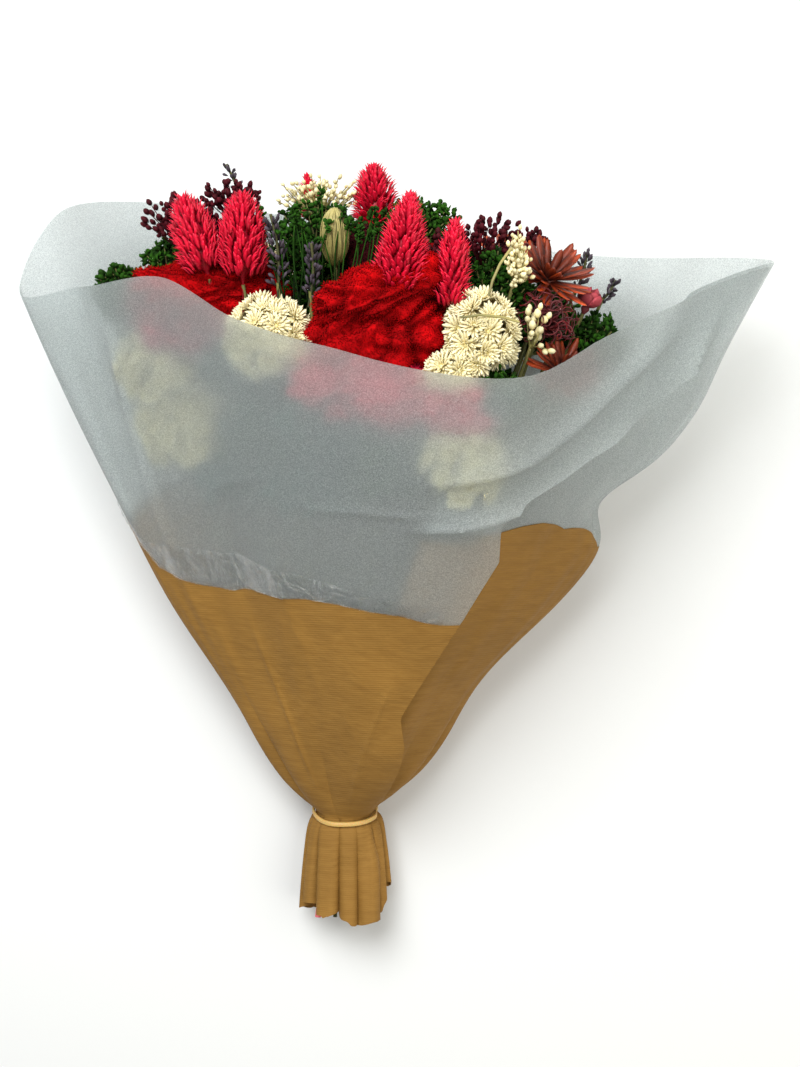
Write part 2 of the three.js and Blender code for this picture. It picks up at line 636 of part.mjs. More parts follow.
// A small daisy: a pointed star on a root that goes down into the head.
function daisy(at, way, radius, points) {
  const [side, up] = sideVectors(way);
  const ring = [];
  for (let k = 0; k < 2 * points; k++) {
    const turn = (Math.PI * k) / points;
    const out = k % 2 === 0 ? radius : radius * 0.62;
    const lift = k % 2 === 0 ? 0.5 : -0.4;
    ring.push(
      at
        .clone()
        .addScaledVector(side, out * Math.cos(turn))
        .addScaledVector(up, out * Math.sin(turn))
        .addScaledVector(way, lift),
    );
  }
  const corners = [...ring, at.clone().addScaledVector(way, 1.6), at.clone().addScaledVector(way, -6.5)];
  const faces = ring.flatMap((_, k) => {
    const next = (k + 1) % ring.length;
    return [
      [k, next, ring.length],
      [next, k, ring.length + 1],
    ];
  });
  return solidOf(corners, faces);
}

function everlastingDaisies(head, random) {
  const daisies = [];
  for (const way of spread(head.count, growth(head), random, 0.5)) {
    const at = v3(head.at).add(way.clone().multiply(v3(head.size)));
    const facing = way.clone().divide(v3(head.size)).normalize();
    daisies.push(daisy(at, facing, 9 + random(), 6));
  }
  return daisies;
}

// Leaflets that stand out of a bushy head all over.
function leaflets(head, random) {
  const made = [];
  for (const way of spread(head.count, growth(head), random, 0.6)) {
    const facing = way.clone().divide(v3(head.size)).normalize();
    facing.addScaledVector(growth(head), 0.35).normalize();
    const at = v3(head.at).add(way.clone().multiply(v3(head.size)).multiplyScalar(0.6));
    const reach = Math.min(...head.size) * 0.5 + 3 + 2 * random();
    made.push(blade(at, at.clone().addScaledVector(facing, reach), 8, 6.4, 0.7));
  }
  return made;
}

// Buds on thin twigs that fan out of one stalk. Each twig and its bud are one small solid.
function budTwigs(head, random) {
  const axis = growth(head);
  const fork = v3(head.at).addScaledVector(axis, -Math.min(...head.size) * 1.1);
  const made = [];
  for (const way of spread(head.count, axis, random, 0.25)) {
    const at = v3(head.at).add(way.clone().multiply(v3(head.size)));
    const facing = at.clone().sub(fork).normalize();
    const stations = [
      { at: fork.clone().addScaledVector(axis, 2 * random() - 3) },
      { at: at.clone().addScaledVector(facing, -5.5), width: 1, thick: 1 },
      { at: at.clone().addScaledVector(facing, -1), width: 4.6, thick: 4.6 },
      { at: at.clone().addScaledVector(facing, 3.5) },
    ];
    made.push(spindle(stations, 3));
  }
  return made;
}

// The stalk under a spray's fork.
function sprayCore(head) {
  const short = Math.min(...head.size);
  const below = (by) => v3(head.at).addScaledVector(growth(head), -short * by);
  return rod(below(2.1), below(0.7), 1.9, 1.7, 5);
}

// Pointed petals in layers that open round the growing direction.
function starPetals(head, random) {
  const axis = growth(head);
  const [side, up] = sideVectors(axis);
  const made = [];
  head.petals.forEach((count, layer) => {
    const open = rad(74 - 27 * layer);
    for (let k = 0; k < count; k++) {
      const turn = (2 * Math.PI * (k + 0.5 * layer)) / count + 0.25 * random();
      const out = side.clone().multiplyScalar(Math.cos(turn)).addScaledVector(up, Math.sin(turn));
      const way = out.clone().multiplyScalar(Math.sin(open)).addScaledVector(axis, Math.cos(open));
      const reach = head.radius * (1 - 0.1 * layer + 0.12 * random());
      const face = new THREE.Vector3().crossVectors(axis, way).negate().cross(way).normalize();
      const tip = v3(head.at).addScaledVector(way, reach);
      made.push(blade(v3(head.at), tip, head.radius * 0.24, 1.8, 0.6, face));
    }
  });
  return made;
}

// Long narrow bracts that arch out and curl back down.
function curlBracts(head, random) {
  const axis = growth(head);
  const made = [];
  for (const way of spread(head.count, axis, random, 0.1)) {
    const along = (out, rise) =>
      v3(head.at).addScaledVector(way, head.radius * out).addScaledVector(axis, rise);
    const stations = [
      { at: along(0, 0) },
      { at: along(0.55, 2), width: 3, thick: 1.8 },
      { at: along(0.95, -2), width: 2.4, thick: 1.6 },
      { at: along(1.1, -9) },
    ];
    made.push(spindle(stations, 3));
  }
  return made;
}

// A dry seed head with eight raised ribs.
function strawCore(head) {
  const profile = [
    [0, -1],
    [0.45, -0.9],
    [0.95, -0.35],
    [1, 0.2],
    [0.7, 0.75],
    [0, 1],
  ].map(([r, h]) => new THREE.Vector2(r, h));
  const shape = new THREE.LatheGeometry(profile, 16);
  const position = shape.getAttribute("position");
  for (let i = 0; i < position.count; i++) {
    const turn = Math.atan2(position.getZ(i), position.getX(i));
    const rib = 1 + 0.09 * Math.cos(8 * turn);
    position.setXYZ(i, position.getX(i) * rib, position.getY(i), position.getZ(i) * rib);
  }
  shape.scale(...head.size);
  shape.applyQuaternion(new THREE.Quaternion().setFromUnitVectors(UP_Y, growth(head)));
  shape.translate(...head.at);
  return solidOfGeometry(shape);
}

// A bushy core whose surface stands up in small points.
function bushCore(head) {
  const shape = new THREE.IcosahedronGeometry(1, 2);
  const position = shape.getAttribute("position");
  const p = new THREE.Vector3();
  for (let i = 0; i < position.count; i++) {
    p.fromBufferAttribute(position, i);
    const checker = Math.sin(23 * p.x + head.at[0]) * Math.sin(29 * p.y) * Math.sin(19 * p.z + 1);
    p.multiplyScalar(checker > 0 ? 0.9 : 0.66);
    position.setXYZ(i, p.x, p.y, p.z);
  }
  shape.scale(...head.size);
  shape.translate(...head.at);
  return solidOfGeometry(shape);
}

// A cluster of small daisies in relief: twelve rosettes with low middles.
function rosetteCore(head) {
  const g = (1 + Math.sqrt(5)) / 2;
  const corners = (a, b) => [v3([0, a, b]), v3([a, b, 0]), v3([b, 0, a])];
  const middles = [-1, 1].flatMap((a) => [-g, g].flatMap((b) => corners(a, b)));
  middles.forEach((m) => m.normalize());
  const shape = new THREE.IcosahedronGeometry(1, 2);
  const position = shape.getAttribute("position");
  const p = new THREE.Vector3();
  for (let i = 0; i < position.count; i++) {
    p.fromBufferAttribute(position, i);
    const near = Math.max(...middles.map((m) => m.dot(p)));
    p.multiplyScalar(near > 0.99 ? 0.82 : near > 0.9 ? 0.98 : 0.76);
    position.setXYZ(i, p.x, p.y, p.z);
  }
  shape.scale(...head.size);
  shape.translate(...head.at);
  return solidOfGeometry(shape);
}

const MAKERS = {
  comb: { core: combCore, elements: () => [] },
  spike: { core: spikeCore, elements: spikeBracts },
  lavender: { core: spikeCore, elements: lavenderCalyces },
  everlasting: { core: rosetteCore, elements: everlastingDaisies },
  foliage: { core: bushCore, elements: leaflets },
  spray: { core: sprayCore, elements: budTwigs },
  star: { core: (h) => ball(h.at, h.radius * 0.24 + 1.5), elements: starPetals },
  curls: { core: (h) => ball(h.at, h.radius * 0.36), elements: curlBracts },
  straw: { core: strawCore, elements: () => [] },
};

// ---------- putting it together ----------
const kraft = kraftPaper();
const fibre = fibreSheet();
const redStemSolid = redStem(0);
const bundle = mainBody(wasm.Manifold.union([slug(), ...stemRods(0)]).subtract(redStem(CLEAR)));
const stemChannels = wasm.Manifold.union([...stemRods(CHANNEL), redStem(CLEAR)]);

// A core keeps clear of the cores before it and of every stem but is seated on its own.
const cores = [];
HEADS.forEach((head) => {
  let core = MAKERS[head.kind].core(head);
  for (const other of cores) {
    if (!boxesNear(core, other.whole, CLEAR) || core.minGap(other.whole, CLEAR) >= CLEAR) continue;
    const grow = 1 + 1.6 / other.reach;
    const middle = v3(other.at);
    const grown = other.whole
      .translate([-middle.x, -middle.y, -middle.z])
      .scale([grow, grow, grow])
      .translate([middle.x, middle.y, middle.z]);
    core = core.subtract(grown);
  }
  const reach = head.size ? Math.min(...head.size) : 0.5 * head.radius;
  cores.push({ head, whole: core, solid: mainBody(core.subtract(stemChannels)), at: head.at, reach });
});

// Petals, bracts, leaflets and buds stand where they clear every neighbour.
const finished = [];
cores.forEach(({ head, solid }, i) => {
  const random = randomFrom(101 + 17 * i);
  const others = cores.filter((_, k) => k > i).map((c) => c.solid);
  const around = [kraft, fibre, bundle, redStemSolid, ...others, ...finished.map((f) => f.solid)];
  const kept = MAKERS[head.kind]
    .elements(head, random)
    .filter((element) => isClear(element, around, CLEAR) && element.intersect(solid).volume() > 0);
  finished.push({ head, solid: mainBody(wasm.Manifold.union([solid, ...kept])), kept: kept.length });
});

// ---------- colours ----------
const COLOURS = {
  red_comb: 0xb0050c,
  burgundy: 0x3a0610,
  red_spike: 0xc3112f,
  white: 0xeee3b8,
  green: 0x1d4a1c,
  maroon: 0x3d0a12,
  cream: 0xe6dcae,
  lavender: 0x54506a,
  rust: 0x8c2a16,
  rose: 0xa34048,
  straw: 0xb9a15a,
};

function colourOf(name) {
  const key = Object.keys(COLOURS).find((start) => name.startsWith(start));
  return COLOURS[key];
}

const bouquet = new THREE.Group();

function addPiece(name, solid, color, roughness, extra = {}) {
  const material = new THREE.MeshStandardMaterial({ color, roughness, metalness: 0, ...extra });
  const mesh = new THREE.Mesh(geometryOf(solid), material);
  mesh.name = name;
  bouquet.add(mesh);
}

addPiece("kraft_paper", kraft, 0x9a7136, 0.85);
addPiece("fibre_sheet", fibre, 0xe4e6e2, 0.6, { transparent: true, opacity: 0.55 });
const band = ringBand(TIE.x + 1.1, TIE.z + 1.1, BAND.width, BAND.thick, outerLayer);
const innerTie = ringBand(INNER_TIE.x, INNER_TIE.z, INNER_TIE.width, INNER_TIE.thick, () => 0);
addPiece("rubber_band", band, 0xc9a65c, 0.6);
addPiece("inner_tie", innerTie, 0xb99a62, 0.8);
addPiece("stem_bundle", bundle, 0x7b7a3c, 0.8);
addPiece("red_stem", redStemSolid, 0xa8323a, 0.7);
for (const { head, solid } of finished) addPiece(head.name, solid, colourOf(head.name), 0.7);

// The part's origin is on the surface, under the middle of the bunch.
const bounds = new THREE.Box3().setFromObject(bouquet);
const middle = bounds.getCenter(new THREE.Vector3());
bouquet.position.set(-middle.x, -middle.y, -bounds.min.z);

export default bouquet;
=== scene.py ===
import math

import bmesh
import bpy
import numpy as np
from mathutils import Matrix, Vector


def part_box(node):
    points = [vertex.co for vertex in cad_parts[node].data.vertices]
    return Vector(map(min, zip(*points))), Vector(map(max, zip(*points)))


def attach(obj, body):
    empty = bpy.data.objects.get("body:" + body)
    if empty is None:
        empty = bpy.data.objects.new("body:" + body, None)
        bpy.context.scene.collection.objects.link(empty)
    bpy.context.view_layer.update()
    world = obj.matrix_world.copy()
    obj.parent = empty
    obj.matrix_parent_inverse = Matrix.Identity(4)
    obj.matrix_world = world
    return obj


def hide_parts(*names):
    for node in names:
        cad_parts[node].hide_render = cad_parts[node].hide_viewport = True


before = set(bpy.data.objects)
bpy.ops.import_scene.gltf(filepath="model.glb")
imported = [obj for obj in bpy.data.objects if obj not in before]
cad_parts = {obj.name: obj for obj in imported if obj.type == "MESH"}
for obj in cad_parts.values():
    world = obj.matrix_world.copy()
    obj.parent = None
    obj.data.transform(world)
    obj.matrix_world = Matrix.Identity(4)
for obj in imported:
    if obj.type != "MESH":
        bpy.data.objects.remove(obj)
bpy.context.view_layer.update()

# A hand-tied bunch of dried and dyed flowers, lying on its back in a wrap of kraft paper and white fibre
# sheet. Sizes and places are in millimetres in the bunch's working frame, as in the solids: X across the
# bunch, Y from the cut stems to the flower heads, Z up, from the floor under the middle of the tie. Random
# draws are seeded.

tie_low, tie_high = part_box("inner_tie")
TIE_HEIGHT = 19.5
ORIGIN = np.array((tie_low + tie_high) / 2) - np.array((0, 0, TIE_HEIGHT / 1000))
scene = bpy.context.scene
GOLDEN_ANGLE = math.pi * (3 - math.sqrt(5))


# ---------- small helpers ----------
def metres(points):
    """Working places in millimetres, as places in the frame in metres."""
    return np.asarray(points, float) / 1000 + ORIGIN


def smooth(x, low, high):
    """0 up to low, 1 from high on, and a soft rise between them."""
    t = np.clip((np.asarray(x, float) - low) / (high - low), 0, 1)
    return t * t * (3 - 2 * t)


def mix(a, b, t):
    return a + (b - a) * t


def unit(v):
    v = np.asarray(v, float)
    return v / np.maximum(np.linalg.norm(v, axis=-1, keepdims=True), 1e-12)


def side_ways(axis):
    """Two unit ways square to an axis and to each other."""
    guide = np.array((0.0, 0, 1) if abs(axis[2]) < 0.9 else (1.0, 0, 0))
    side = unit(np.cross(axis, guide))
    return side, unit(np.cross(side, axis))


def way_out(side, up, turn):
    """The way that points out from an axis at a turn about it, from its two side ways."""
    return side * math.cos(turn) + up * math.sin(turn)


def leaning(axis, out, tilt):
    """The ways in which a bract grows and faces, when it leans out from an axis by a tilt in radians."""
    return axis * math.cos(tilt) + out * math.sin(tilt), axis * math.sin(tilt) - out * math.cos(tilt)


def bowed(start, end, bow, parts):
    """Places along a line between two ends that bows out sideways."""
    return [mix(start, end, t) + bow * math.sin(math.pi * t) for t in parts]


def ways_around(count, axis, back_cut, rng):
    """Even ways over a sphere, without those that point back down the stem."""
    whole = math.ceil(count / (0.5 + 0.5 * back_cut))
    found = []
    for i in range(whole):
        h = 1 - 2 * (i + 0.5) / whole
        turn = GOLDEN_ANGLE * i + 0.35 * rng.random()
        ring = math.sqrt(1 - h * h)
        way = np.array((ring * math.cos(turn), ring * math.sin(turn), h))
        if way @ axis > -back_cut:
            found.append(way)
    return found


def hex_colour(code):
    """An sRGB hex colour as the linear colour that a shader takes."""
    parts = [int(code[i : i + 2], 16) / 255 for i in (1, 3, 5)]
    return tuple(p / 12.92 if p <= 0.04045 else ((p + 0.055) / 1.055) ** 2.4 for p in parts) + (1.0,)


def placed(name, data):
    """A new object in the scene."""
    thing = bpy.data.objects.new(name, data)
    scene.collection.objects.link(thing)
    return thing


def add(tree, kind, values=None, links=None, **settings):
    """Adds a node: settings are its own, values go into its sockets, and links feed its sockets."""
    node = tree.nodes.new(kind)
    for key, setting in settings.items():
        setattr(node, key, setting)
    for key, value in (values or {}).items():
        node.inputs[key].default_value = value
    for key, source in (links or {}).items():
        tree.links.new(source, node.inputs[key])
    return node


# ---------- finishes ----------
def start_finish(name, colour, **sockets):
    """A material with its shader's even values set on the shader itself."""
    finish = bpy.data.materials.new(name)
    finish.use_nodes = True
    tree = finish.node_tree
    shader = tree.nodes["Principled BSDF"]
    shader.inputs["Base Color"].default_value = hex_colour(colour)
    for key, value in sockets.items():
        shader.inputs[key.replace("_", " ")].default_value = value
    return finish, tree, shader


def kraft_finish():
    # Unbleached kraft paper with a ribbed, machine-glazed face: dull brown with fine lines across the sheet,
    # darker and lighter clouds of pulp, and soft crumples.
    finish, tree, shader = start_finish("ribbed_kraft_paper", "#8a6224", Roughness=0.78, IOR=1.35)
    place = add(tree, "ShaderNodeTexCoord")
    ribs = add(
        tree,
        "ShaderNodeTexWave",
        bands_direction="Y",
        # Ribs 1.3 mm apart: real ones are about 0.8 mm, too fine to show in the picture. A wave repeats every
        # 2 pi / (20 x its scale).
        values={"Scale": 2 * math.pi / (20 * 0.0013), "Distortion": 1.4, "Detail": 2.0, "Detail Scale": 0.6},
        links={"Vector": place.outputs["UV"]},
    )
    pulp_place = add(
        tree,
        "ShaderNodeMapping",
        # Pulp lies along the ribs, so its clouds are six times as long as they are high.
        values={"Scale": (1.0, 6.0, 1.0)},
        links={"Vector": place.outputs["UV"]},
    )
    pulp = add(
        tree, "ShaderNodeTexNoise", values={"Scale": 1 / 0.018, "Detail": 5.0, "Roughness": 0.65},
        links={"Vector": pulp_place.outputs["Vector"]},
    )
    clouds = add(
        tree, "ShaderNodeTexNoise", values={"Scale": 1 / 0.055, "Detail": 2.0, "Roughness": 0.5},
        links={"Vector": place.outputs["Object"]},
    )
    streaks = add(
        tree, "ShaderNodeMix", data_type="RGBA", values={6: hex_colour("#755019"), 7: hex_colour("#977032")},
        links={0: pulp.outputs["Fac"]},
    )
    line = add(
        tree, "ShaderNodeMapRange",
        values={"From Min": 0.0, "From Max": 1.0, "To Min": 0.96, "To Max": 1.03},
        links={"Value": ribs.outputs["Fac"]},
    )
    cloud = add(
        tree, "ShaderNodeMapRange",
        values={"From Min": 0.3, "From Max": 0.7, "To Min": 0.88, "To Max": 1.08},
        links={"Value": clouds.outputs["Fac"]},
    )
    shade = add(
        tree, "ShaderNodeMath", operation="MULTIPLY",
        links={0: line.outputs["Result"], 1: cloud.outputs["Result"]},
    )
    colour = add(
        tree, "ShaderNodeHueSaturation", links={"Color": streaks.outputs[2], "Value": shade.outputs["Value"]}
    )
    tree.links.new(colour.outputs["Color"], shader.inputs["Base Color"])
    crumple = add(
        tree, "ShaderNodeTexNoise",
        values={"Scale": 1 / 0.03, "Detail": 3.0, "Roughness": 0.45, "Distortion": 0.6},
        links={"Vector": place.outputs["Object"]},
    )
    soft = add(
        tree, "ShaderNodeBump", values={"Strength": 0.5, "Distance": 0.004},
        links={"Height": crumple.outputs["Fac"]},
    )
    fine = add(
        tree, "ShaderNodeBump", values={"Strength": 0.45, "Distance": 0.0002},
        links={"Height": ribs.outputs["Fac"], "Normal": soft.outputs["Normal"]},
    )
    tree.links.new(fine.outputs["Normal"], shader.inputs["Normal"])
    return finish


def fibre_finish():
    # Spun-bonded fibre sheet: dull white fibres with clear gaps between them, so that it blurs what lies
    # behind it into soft coloured patches, with a fine fibre grain and paper-like creases.
    finish, tree, shader = start_finish(
        "spunbond_fibre_sheet", "#dfe2df", Roughness=0.9, IOR=1.27, Coat_Weight=0.3, Coat_Roughness=0.32
    )
    place = add(tree, "ShaderNodeTexCoord")
    grain = add(
        tree,
        "ShaderNodeTexNoise",
        # Fibre clumps of 0.6 mm: the real ones are near 0.3 mm, too fine for the picture.
        values={"Scale": 1 / 0.0006, "Detail": 3.0, "Roughness": 0.8},
        links={"Vector": place.outputs["Object"]},
    )
    clumps = add(
        tree, "ShaderNodeMapRange",
        values={"From Min": 0.38, "From Max": 0.62, "To Min": 0.0, "To Max": 1.0},
        links={"Value": grain.outputs["Fac"]},
    )
    colour = add(
        tree, "ShaderNodeMix", data_type="RGBA", values={6: hex_colour("#b4bcbd"), 7: hex_colour("#d9ddda")},
        links={0: clumps.outputs["Result"]},
    )
    tree.links.new(colour.outputs[2], shader.inputs["Base Color"])
    clear = add(
        tree, "ShaderNodeMapRange", values={"From Min": 0.0, "From Max": 1.0, "To Min": 0.9, "To Max": 0.66},
        links={"Value": clumps.outputs["Result"]},
    )
    tree.links.new(clear.outputs["Result"], shader.inputs["Transmission Weight"])
    cover = add(
        tree, "ShaderNodeMapRange",
        values={"From Min": 0.0, "From Max": 1.0, "To Min": 0.56, "To Max": 0.88},
        links={"Value": clumps.outputs["Result"]},
    )
    tree.links.new(cover.outputs["Result"], shader.inputs["Alpha"])
    crumple = add(
        tree, "ShaderNodeTexNoise", noise_type="RIDGED_MULTIFRACTAL",
        values={"Scale": 1 / 0.06, "Detail": 2.0, "Roughness": 0.4, "Distortion": 0.8},
        links={"Vector": place.outputs["Object"]},
    )
    creases = add(
        tree, "ShaderNodeBump", values={"Strength": 0.6, "Distance": 0.004},
        links={"Height": crumple.outputs["Fac"]},
    )
    fine = add(
        tree, "ShaderNodeBump", values={"Strength": 0.25, "Distance": 0.0002},
        links={"Height": grain.outputs["Fac"], "Normal": creases.outputs["Normal"]},
    )
    tree.links.new(fine.outputs["Normal"], shader.inputs["Normal"])
    return finish


def film_finish():
    # Clear polypropylene film: almost invisible but for sharp glints on its crinkles.
    finish, tree, shader = start_finish(
        "clear_polypropylene_film", "#ffffff", Roughness=0.1, IOR=1.45, Transmission_Weight=1.0, Alpha=0.35
    )
    place = add(tree, "ShaderNodeTexCoord")
    crinkle = add(
        tree, "ShaderNodeTexNoise",
        values={"Scale": 1 / 0.011, "Detail": 3.0, "Roughness": 0.5, "Distortion": 1.6},
        links={"Vector": place.outputs["Object"]},
    )
    bump = add(
        tree, "ShaderNodeBump", values={"Strength": 0.9, "Distance": 0.003},
        links={"Height": crinkle.outputs["Fac"]},
    )
    tree.links.new(bump.outputs["Normal"], shader.inputs["Normal"])
    return finish


def rubber_finish():
    # Pale natural rubber, cut from a tube: silky, slightly see-through yellow with faint lengthwise streaks.
    finish, tree, shader = start_finish(
        "natural_rubber_band", "#d8b566", Roughness=0.48, IOR=1.52, Subsurface_Weight=0.25,
        Subsurface_Scale=0.002,
    )
    place = add(tree, "ShaderNodeTexCoord")
    long_place = add(
        tree, "ShaderNodeMapping", values={"Scale": (0.1, 1.0, 1.0)}, links={"Vector": place.outputs["UV"]}
    )
    streak = add(
        tree, "ShaderNodeTexNoise", values={"Scale": 1 / 0.0008, "Detail": 3.0},
        links={"Vector": long_place.outputs["Vector"]},
    )
    colour = add(
        tree, "ShaderNodeMix", data_type="RGBA", values={6: hex_colour("#a9823c"), 7: hex_colour("#cfae68")},
        links={0: streak.outputs["Fac"]},
    )
    tree.links.new(colour.outputs[2], shader.inputs["Base Color"])
    bump = add(
        tree, "ShaderNodeBump", values={"Strength": 0.3, "Distance": 0.0002},
        links={"Height": streak.outputs["Fac"]},
    )
    tree.links.new(bump.outputs["Normal"], shader.inputs["Normal"])
    return finish


def plant_finish(name, root, tip, grain, depth, **sockets):
    """A dried or dyed plant part: its colour runs from root to tip, each part has a shade of its own, and a
    fine grain roughens it. grain is the grain's width and depth its height, in millimetres."""
    finish, tree, shader = start_finish(name, tip, **sockets)
    place = add(tree, "ShaderNodeTexCoord")
    along = add(tree, "ShaderNodeAttribute", attribute_name="along")
    own = add(tree, "ShaderNodeAttribute", attribute_name="shade")
    noise = add(
        tree, "ShaderNodeTexNoise", values={"Scale": 1000 / grain, "Detail": 3.0, "Roughness": 0.6},
        links={"Vector": place.outputs["Object"]},
    )
    wander = add(
        tree, "ShaderNodeMapRange",
        values={"From Min": 0.3, "From Max": 0.7, "To Min": -0.16, "To Max": 0.16},
        links={"Value": noise.outputs["Fac"]},
    )
    way = add(
        tree, "ShaderNodeMath", operation="ADD", use_clamp=True,
        links={0: along.outputs["Fac"], 1: wander.outputs["Result"]},
    )
    colour = add(
        tree, "ShaderNodeMix", data_type="RGBA", values={6: hex_colour(root), 7: hex_colour(tip)},
        links={0: way.outputs["Value"]},
    )
    shaded = add(
        tree, "ShaderNodeHueSaturation", links={"Color": colour.outputs[2], "Value": own.outputs["Fac"]}
    )
    tree.links.new(shaded.outputs["Color"], shader.inputs["Base Color"])
    bump = add(
        tree, "ShaderNodeBump", values={"Strength": 0.6, "Distance": depth / 1000},
        links={"Height": noise.outputs["Fac"]},
    )
    tree.links.new(bump.outputs["Normal"], shader.inputs["Normal"])
    return finish


KRAFT = kraft_finish()
FIBRE = fibre_finish()
FILM = film_finish()
RUBBER = rubber_finish()
# Dyed cockscomb: matt blood-red fuzz, darkened towards near black in its creases and at each hair's root as
# painted shade.
RED_PLUSH = plant_finish("dyed_cockscomb_fuzz", "#480003", "#cb060b", 2.2, 0.4, Roughness=0.9, IOR=1.15)
# Cockscomb dyed almost black-red, with the same fuzz and the same painted shade in its creases.
BURGUNDY_PLUSH = plant_finish(
    "burgundy_cockscomb_fuzz", "#120105", "#4c0612", 2.2, 0.4, Roughness=0.9, IOR=1.25
)
# Stiff dyed bracts with a waxy face: crimson, pinker at the tips, with small bright glints.
RED_BRACT = plant_finish("waxy_dyed_bract", "#86020f", "#e6163a", 1.0, 0.15, Roughness=0.42, IOR=1.32)
# The same fuzz dyed pink, for the combs whose colour glows through the sheet.
PINK_PLUSH = plant_finish("dyed_pink_cockscomb_fuzz", "#86081e", "#e42148", 2.2, 0.4, Roughness=0.9, IOR=1.15)
# Papery everlasting bracts: ivory, yellower at the root, dry and slightly shiny like straw.
WHITE_BRACT = plant_finish("ivory_papery_bract", "#d3c07c", "#f7edc4", 1.2, 0.12, Roughness=0.55)
# The everlasting's middle: small pale greenish-yellow florets.
EYE = plant_finish("everlasting_eye", "#9a8f4c", "#ddd093", 0.7, 0.3, Roughness=0.8)
# Foliage kept soft in glycerine and dyed dark green: dull and leathery.
GREEN_LEAF = plant_finish("glycerined_green_leaf", "#050d02", "#2a5410", 1.4, 0.2, Roughness=0.75, IOR=1.2)
# The same foliage in a bluer green, for the leaves whose colour shows through the sheet as teal.
COOL_LEAF = plant_finish("blue_green_glycerined_leaf", "#08231c", "#1c6350", 1.4, 0.2, Roughness=0.8, IOR=1.2)
# Dyed grain heads: nearly black maroon with a dull skin.
MAROON_BUD = plant_finish("dyed_maroon_bud", "#1a0105", "#4c0512", 0.9, 0.25, Roughness=0.65, IOR=1.25)
# Bleached grain heads: cream with a dull, dry skin.
CREAM_BUD = plant_finish("bleached_cream_bud", "#c9b678", "#f1e6b8", 0.9, 0.2, Roughness=0.6)
# Dried lavender: dark grey with a dull violet tip on each calyx, felted.
LAVENDER = plant_finish("dried_lavender_calyx", "#252324", "#4a4049", 0.8, 0.25, Roughness=0.85, IOR=1.3)
# Long papery bracts, dyed: dark red at the root to rust orange at the tip, ribbed and a little shiny.
RUST_PETAL = plant_finish("papery_rust_bract", "#3c0605", "#b8430f", 1.0, 0.2, Roughness=0.5)
# Thread-like dyed bracts that curl: dark wine red.
CURL = plant_finish("dyed_curly_bract", "#330507", "#74141a", 1.0, 0.15, Roughness=0.5)
# A dried rose bud: deep pink-red with browner edges.
ROSE = plant_finish("dried_rose_petal", "#7b2028", "#b2414a", 1.4, 0.2, Roughness=0.65)
# Straw: olive gold and dry, with a silky face.
STRAW = plant_finish("olive_straw", "#5f5a2a", "#aa9d5e", 0.7, 0.15, Roughness=0.5)
# Dried stems: olive brown, rough and dull.
DRY_STEM = plant_finish("dried_stem", "#3f431c", "#6d6c38", 1.2, 0.25, Roughness=0.8)
# A stem that has drunk red dye: dusty red, pinker at the cut.
DYED_STEM = plant_finish("dyed_stem", "#a8323a", "#d7606a", 1.2, 0.2, Roughness=0.6)
# Raffia: flat palm strip, pale and fibrous.
RAFFIA = plant_finish("raffia_strip", "#a2824a", "#c9ad72", 0.8, 0.2, Roughness=0.7)


# ---------- meshes ----------
def mark(mesh, **numbers):
    """Gives a mesh one number for each corner, under each name."""
    for key, values in numbers.items():
        mesh.attributes.new(key, "FLOAT", "POINT").data.foreach_set("value", np.asarray(values, np.float32))


def ball(subdivisions):
    """A unit ball's places and faces."""
    body = bmesh.new()
    bmesh.ops.create_icosphere(body, subdivisions=subdivisions, radius=1)
    places = np.array([v.co for v in body.verts])
    faces = [[v.index for v in f.verts] for f in body.faces]
    body.free()
    return places, faces


def new_piece(name, points, faces, finish, values=None, uv=None):
    """A mesh from places in millimetres. values are numbers for each corner, by name."""
    mesh = bpy.data.meshes.new(name)
    mesh.from_pydata([tuple(p) for p in metres(points)], [], [tuple(int(i) for i in f) for f in faces])
    mark(mesh, **(values or {}))
    if uv is not None:
        corners = np.zeros(len(mesh.loops), np.int32)
        mesh.loops.foreach_get("vertex_index", corners)
        layer = mesh.uv_layers.new(name="cut")
        layer.data.foreach_set("uv", np.asarray(uv, np.float32)[corners].ravel())
    mesh.polygons.foreach_set("use_smooth", [True] * len(mesh.polygons))
    mesh.materials.append(finish)
    return placed(name, mesh)


def outward(points, faces):
    """The faces, turned round if they enclose a negative volume."""
    points = np.asarray(points, float)
    total = 0.0
    for face in faces:
        a = points[face[0]]
        for k in range(1, len(face) - 1):
            total += a @ np.cross(points[face[k]], points[face[k + 1]])
    return [tuple(f) for f in faces] if total > 0 else [tuple(reversed(f)) for f in faces]


def spindle_shape(name, stations, sides=4, cup=0.0):
    """A small closed shape, one unit long and wide, that grows along Z and faces Y, to be set many times
    over. stations are (along, half width, half thickness, lift), and the first and last are its poles. cup
    raises its edges."""
    first, *rings, last = stations
    points = [(0, first[3], first[0])]
    for along, wide, thick, lift in rings:
        for k in range(sides):
            turn = 2 * math.pi * k / sides
            x = math.cos(turn) * wide
            points.append((x, lift + math.sin(turn) * thick + cup * abs(x), along))
    points.append((0, last[3], last[0]))
    faces = []
    for k in range(sides):
        n = (k + 1) % sides
        faces.append((0, 1 + k, 1 + n))
        for r in range(len(rings) - 1):
            a, b = 1 + r * sides, 1 + (r + 1) * sides
            faces.append((a + k, b + k, b + n, a + n))
        top = 1 + (len(rings) - 1) * sides
        faces.append((top + k, len(points) - 1, top + n))
    mesh = bpy.data.meshes.new(name)
    mesh.from_pydata(points, [], outward(points, faces))
    mark(mesh, along=np.clip([p[2] for p in points], 0, 1))
    mesh.polygons.foreach_set("use_smooth", [True] * len(mesh.polygons))
    return bpy.data.objects.new(name, mesh)


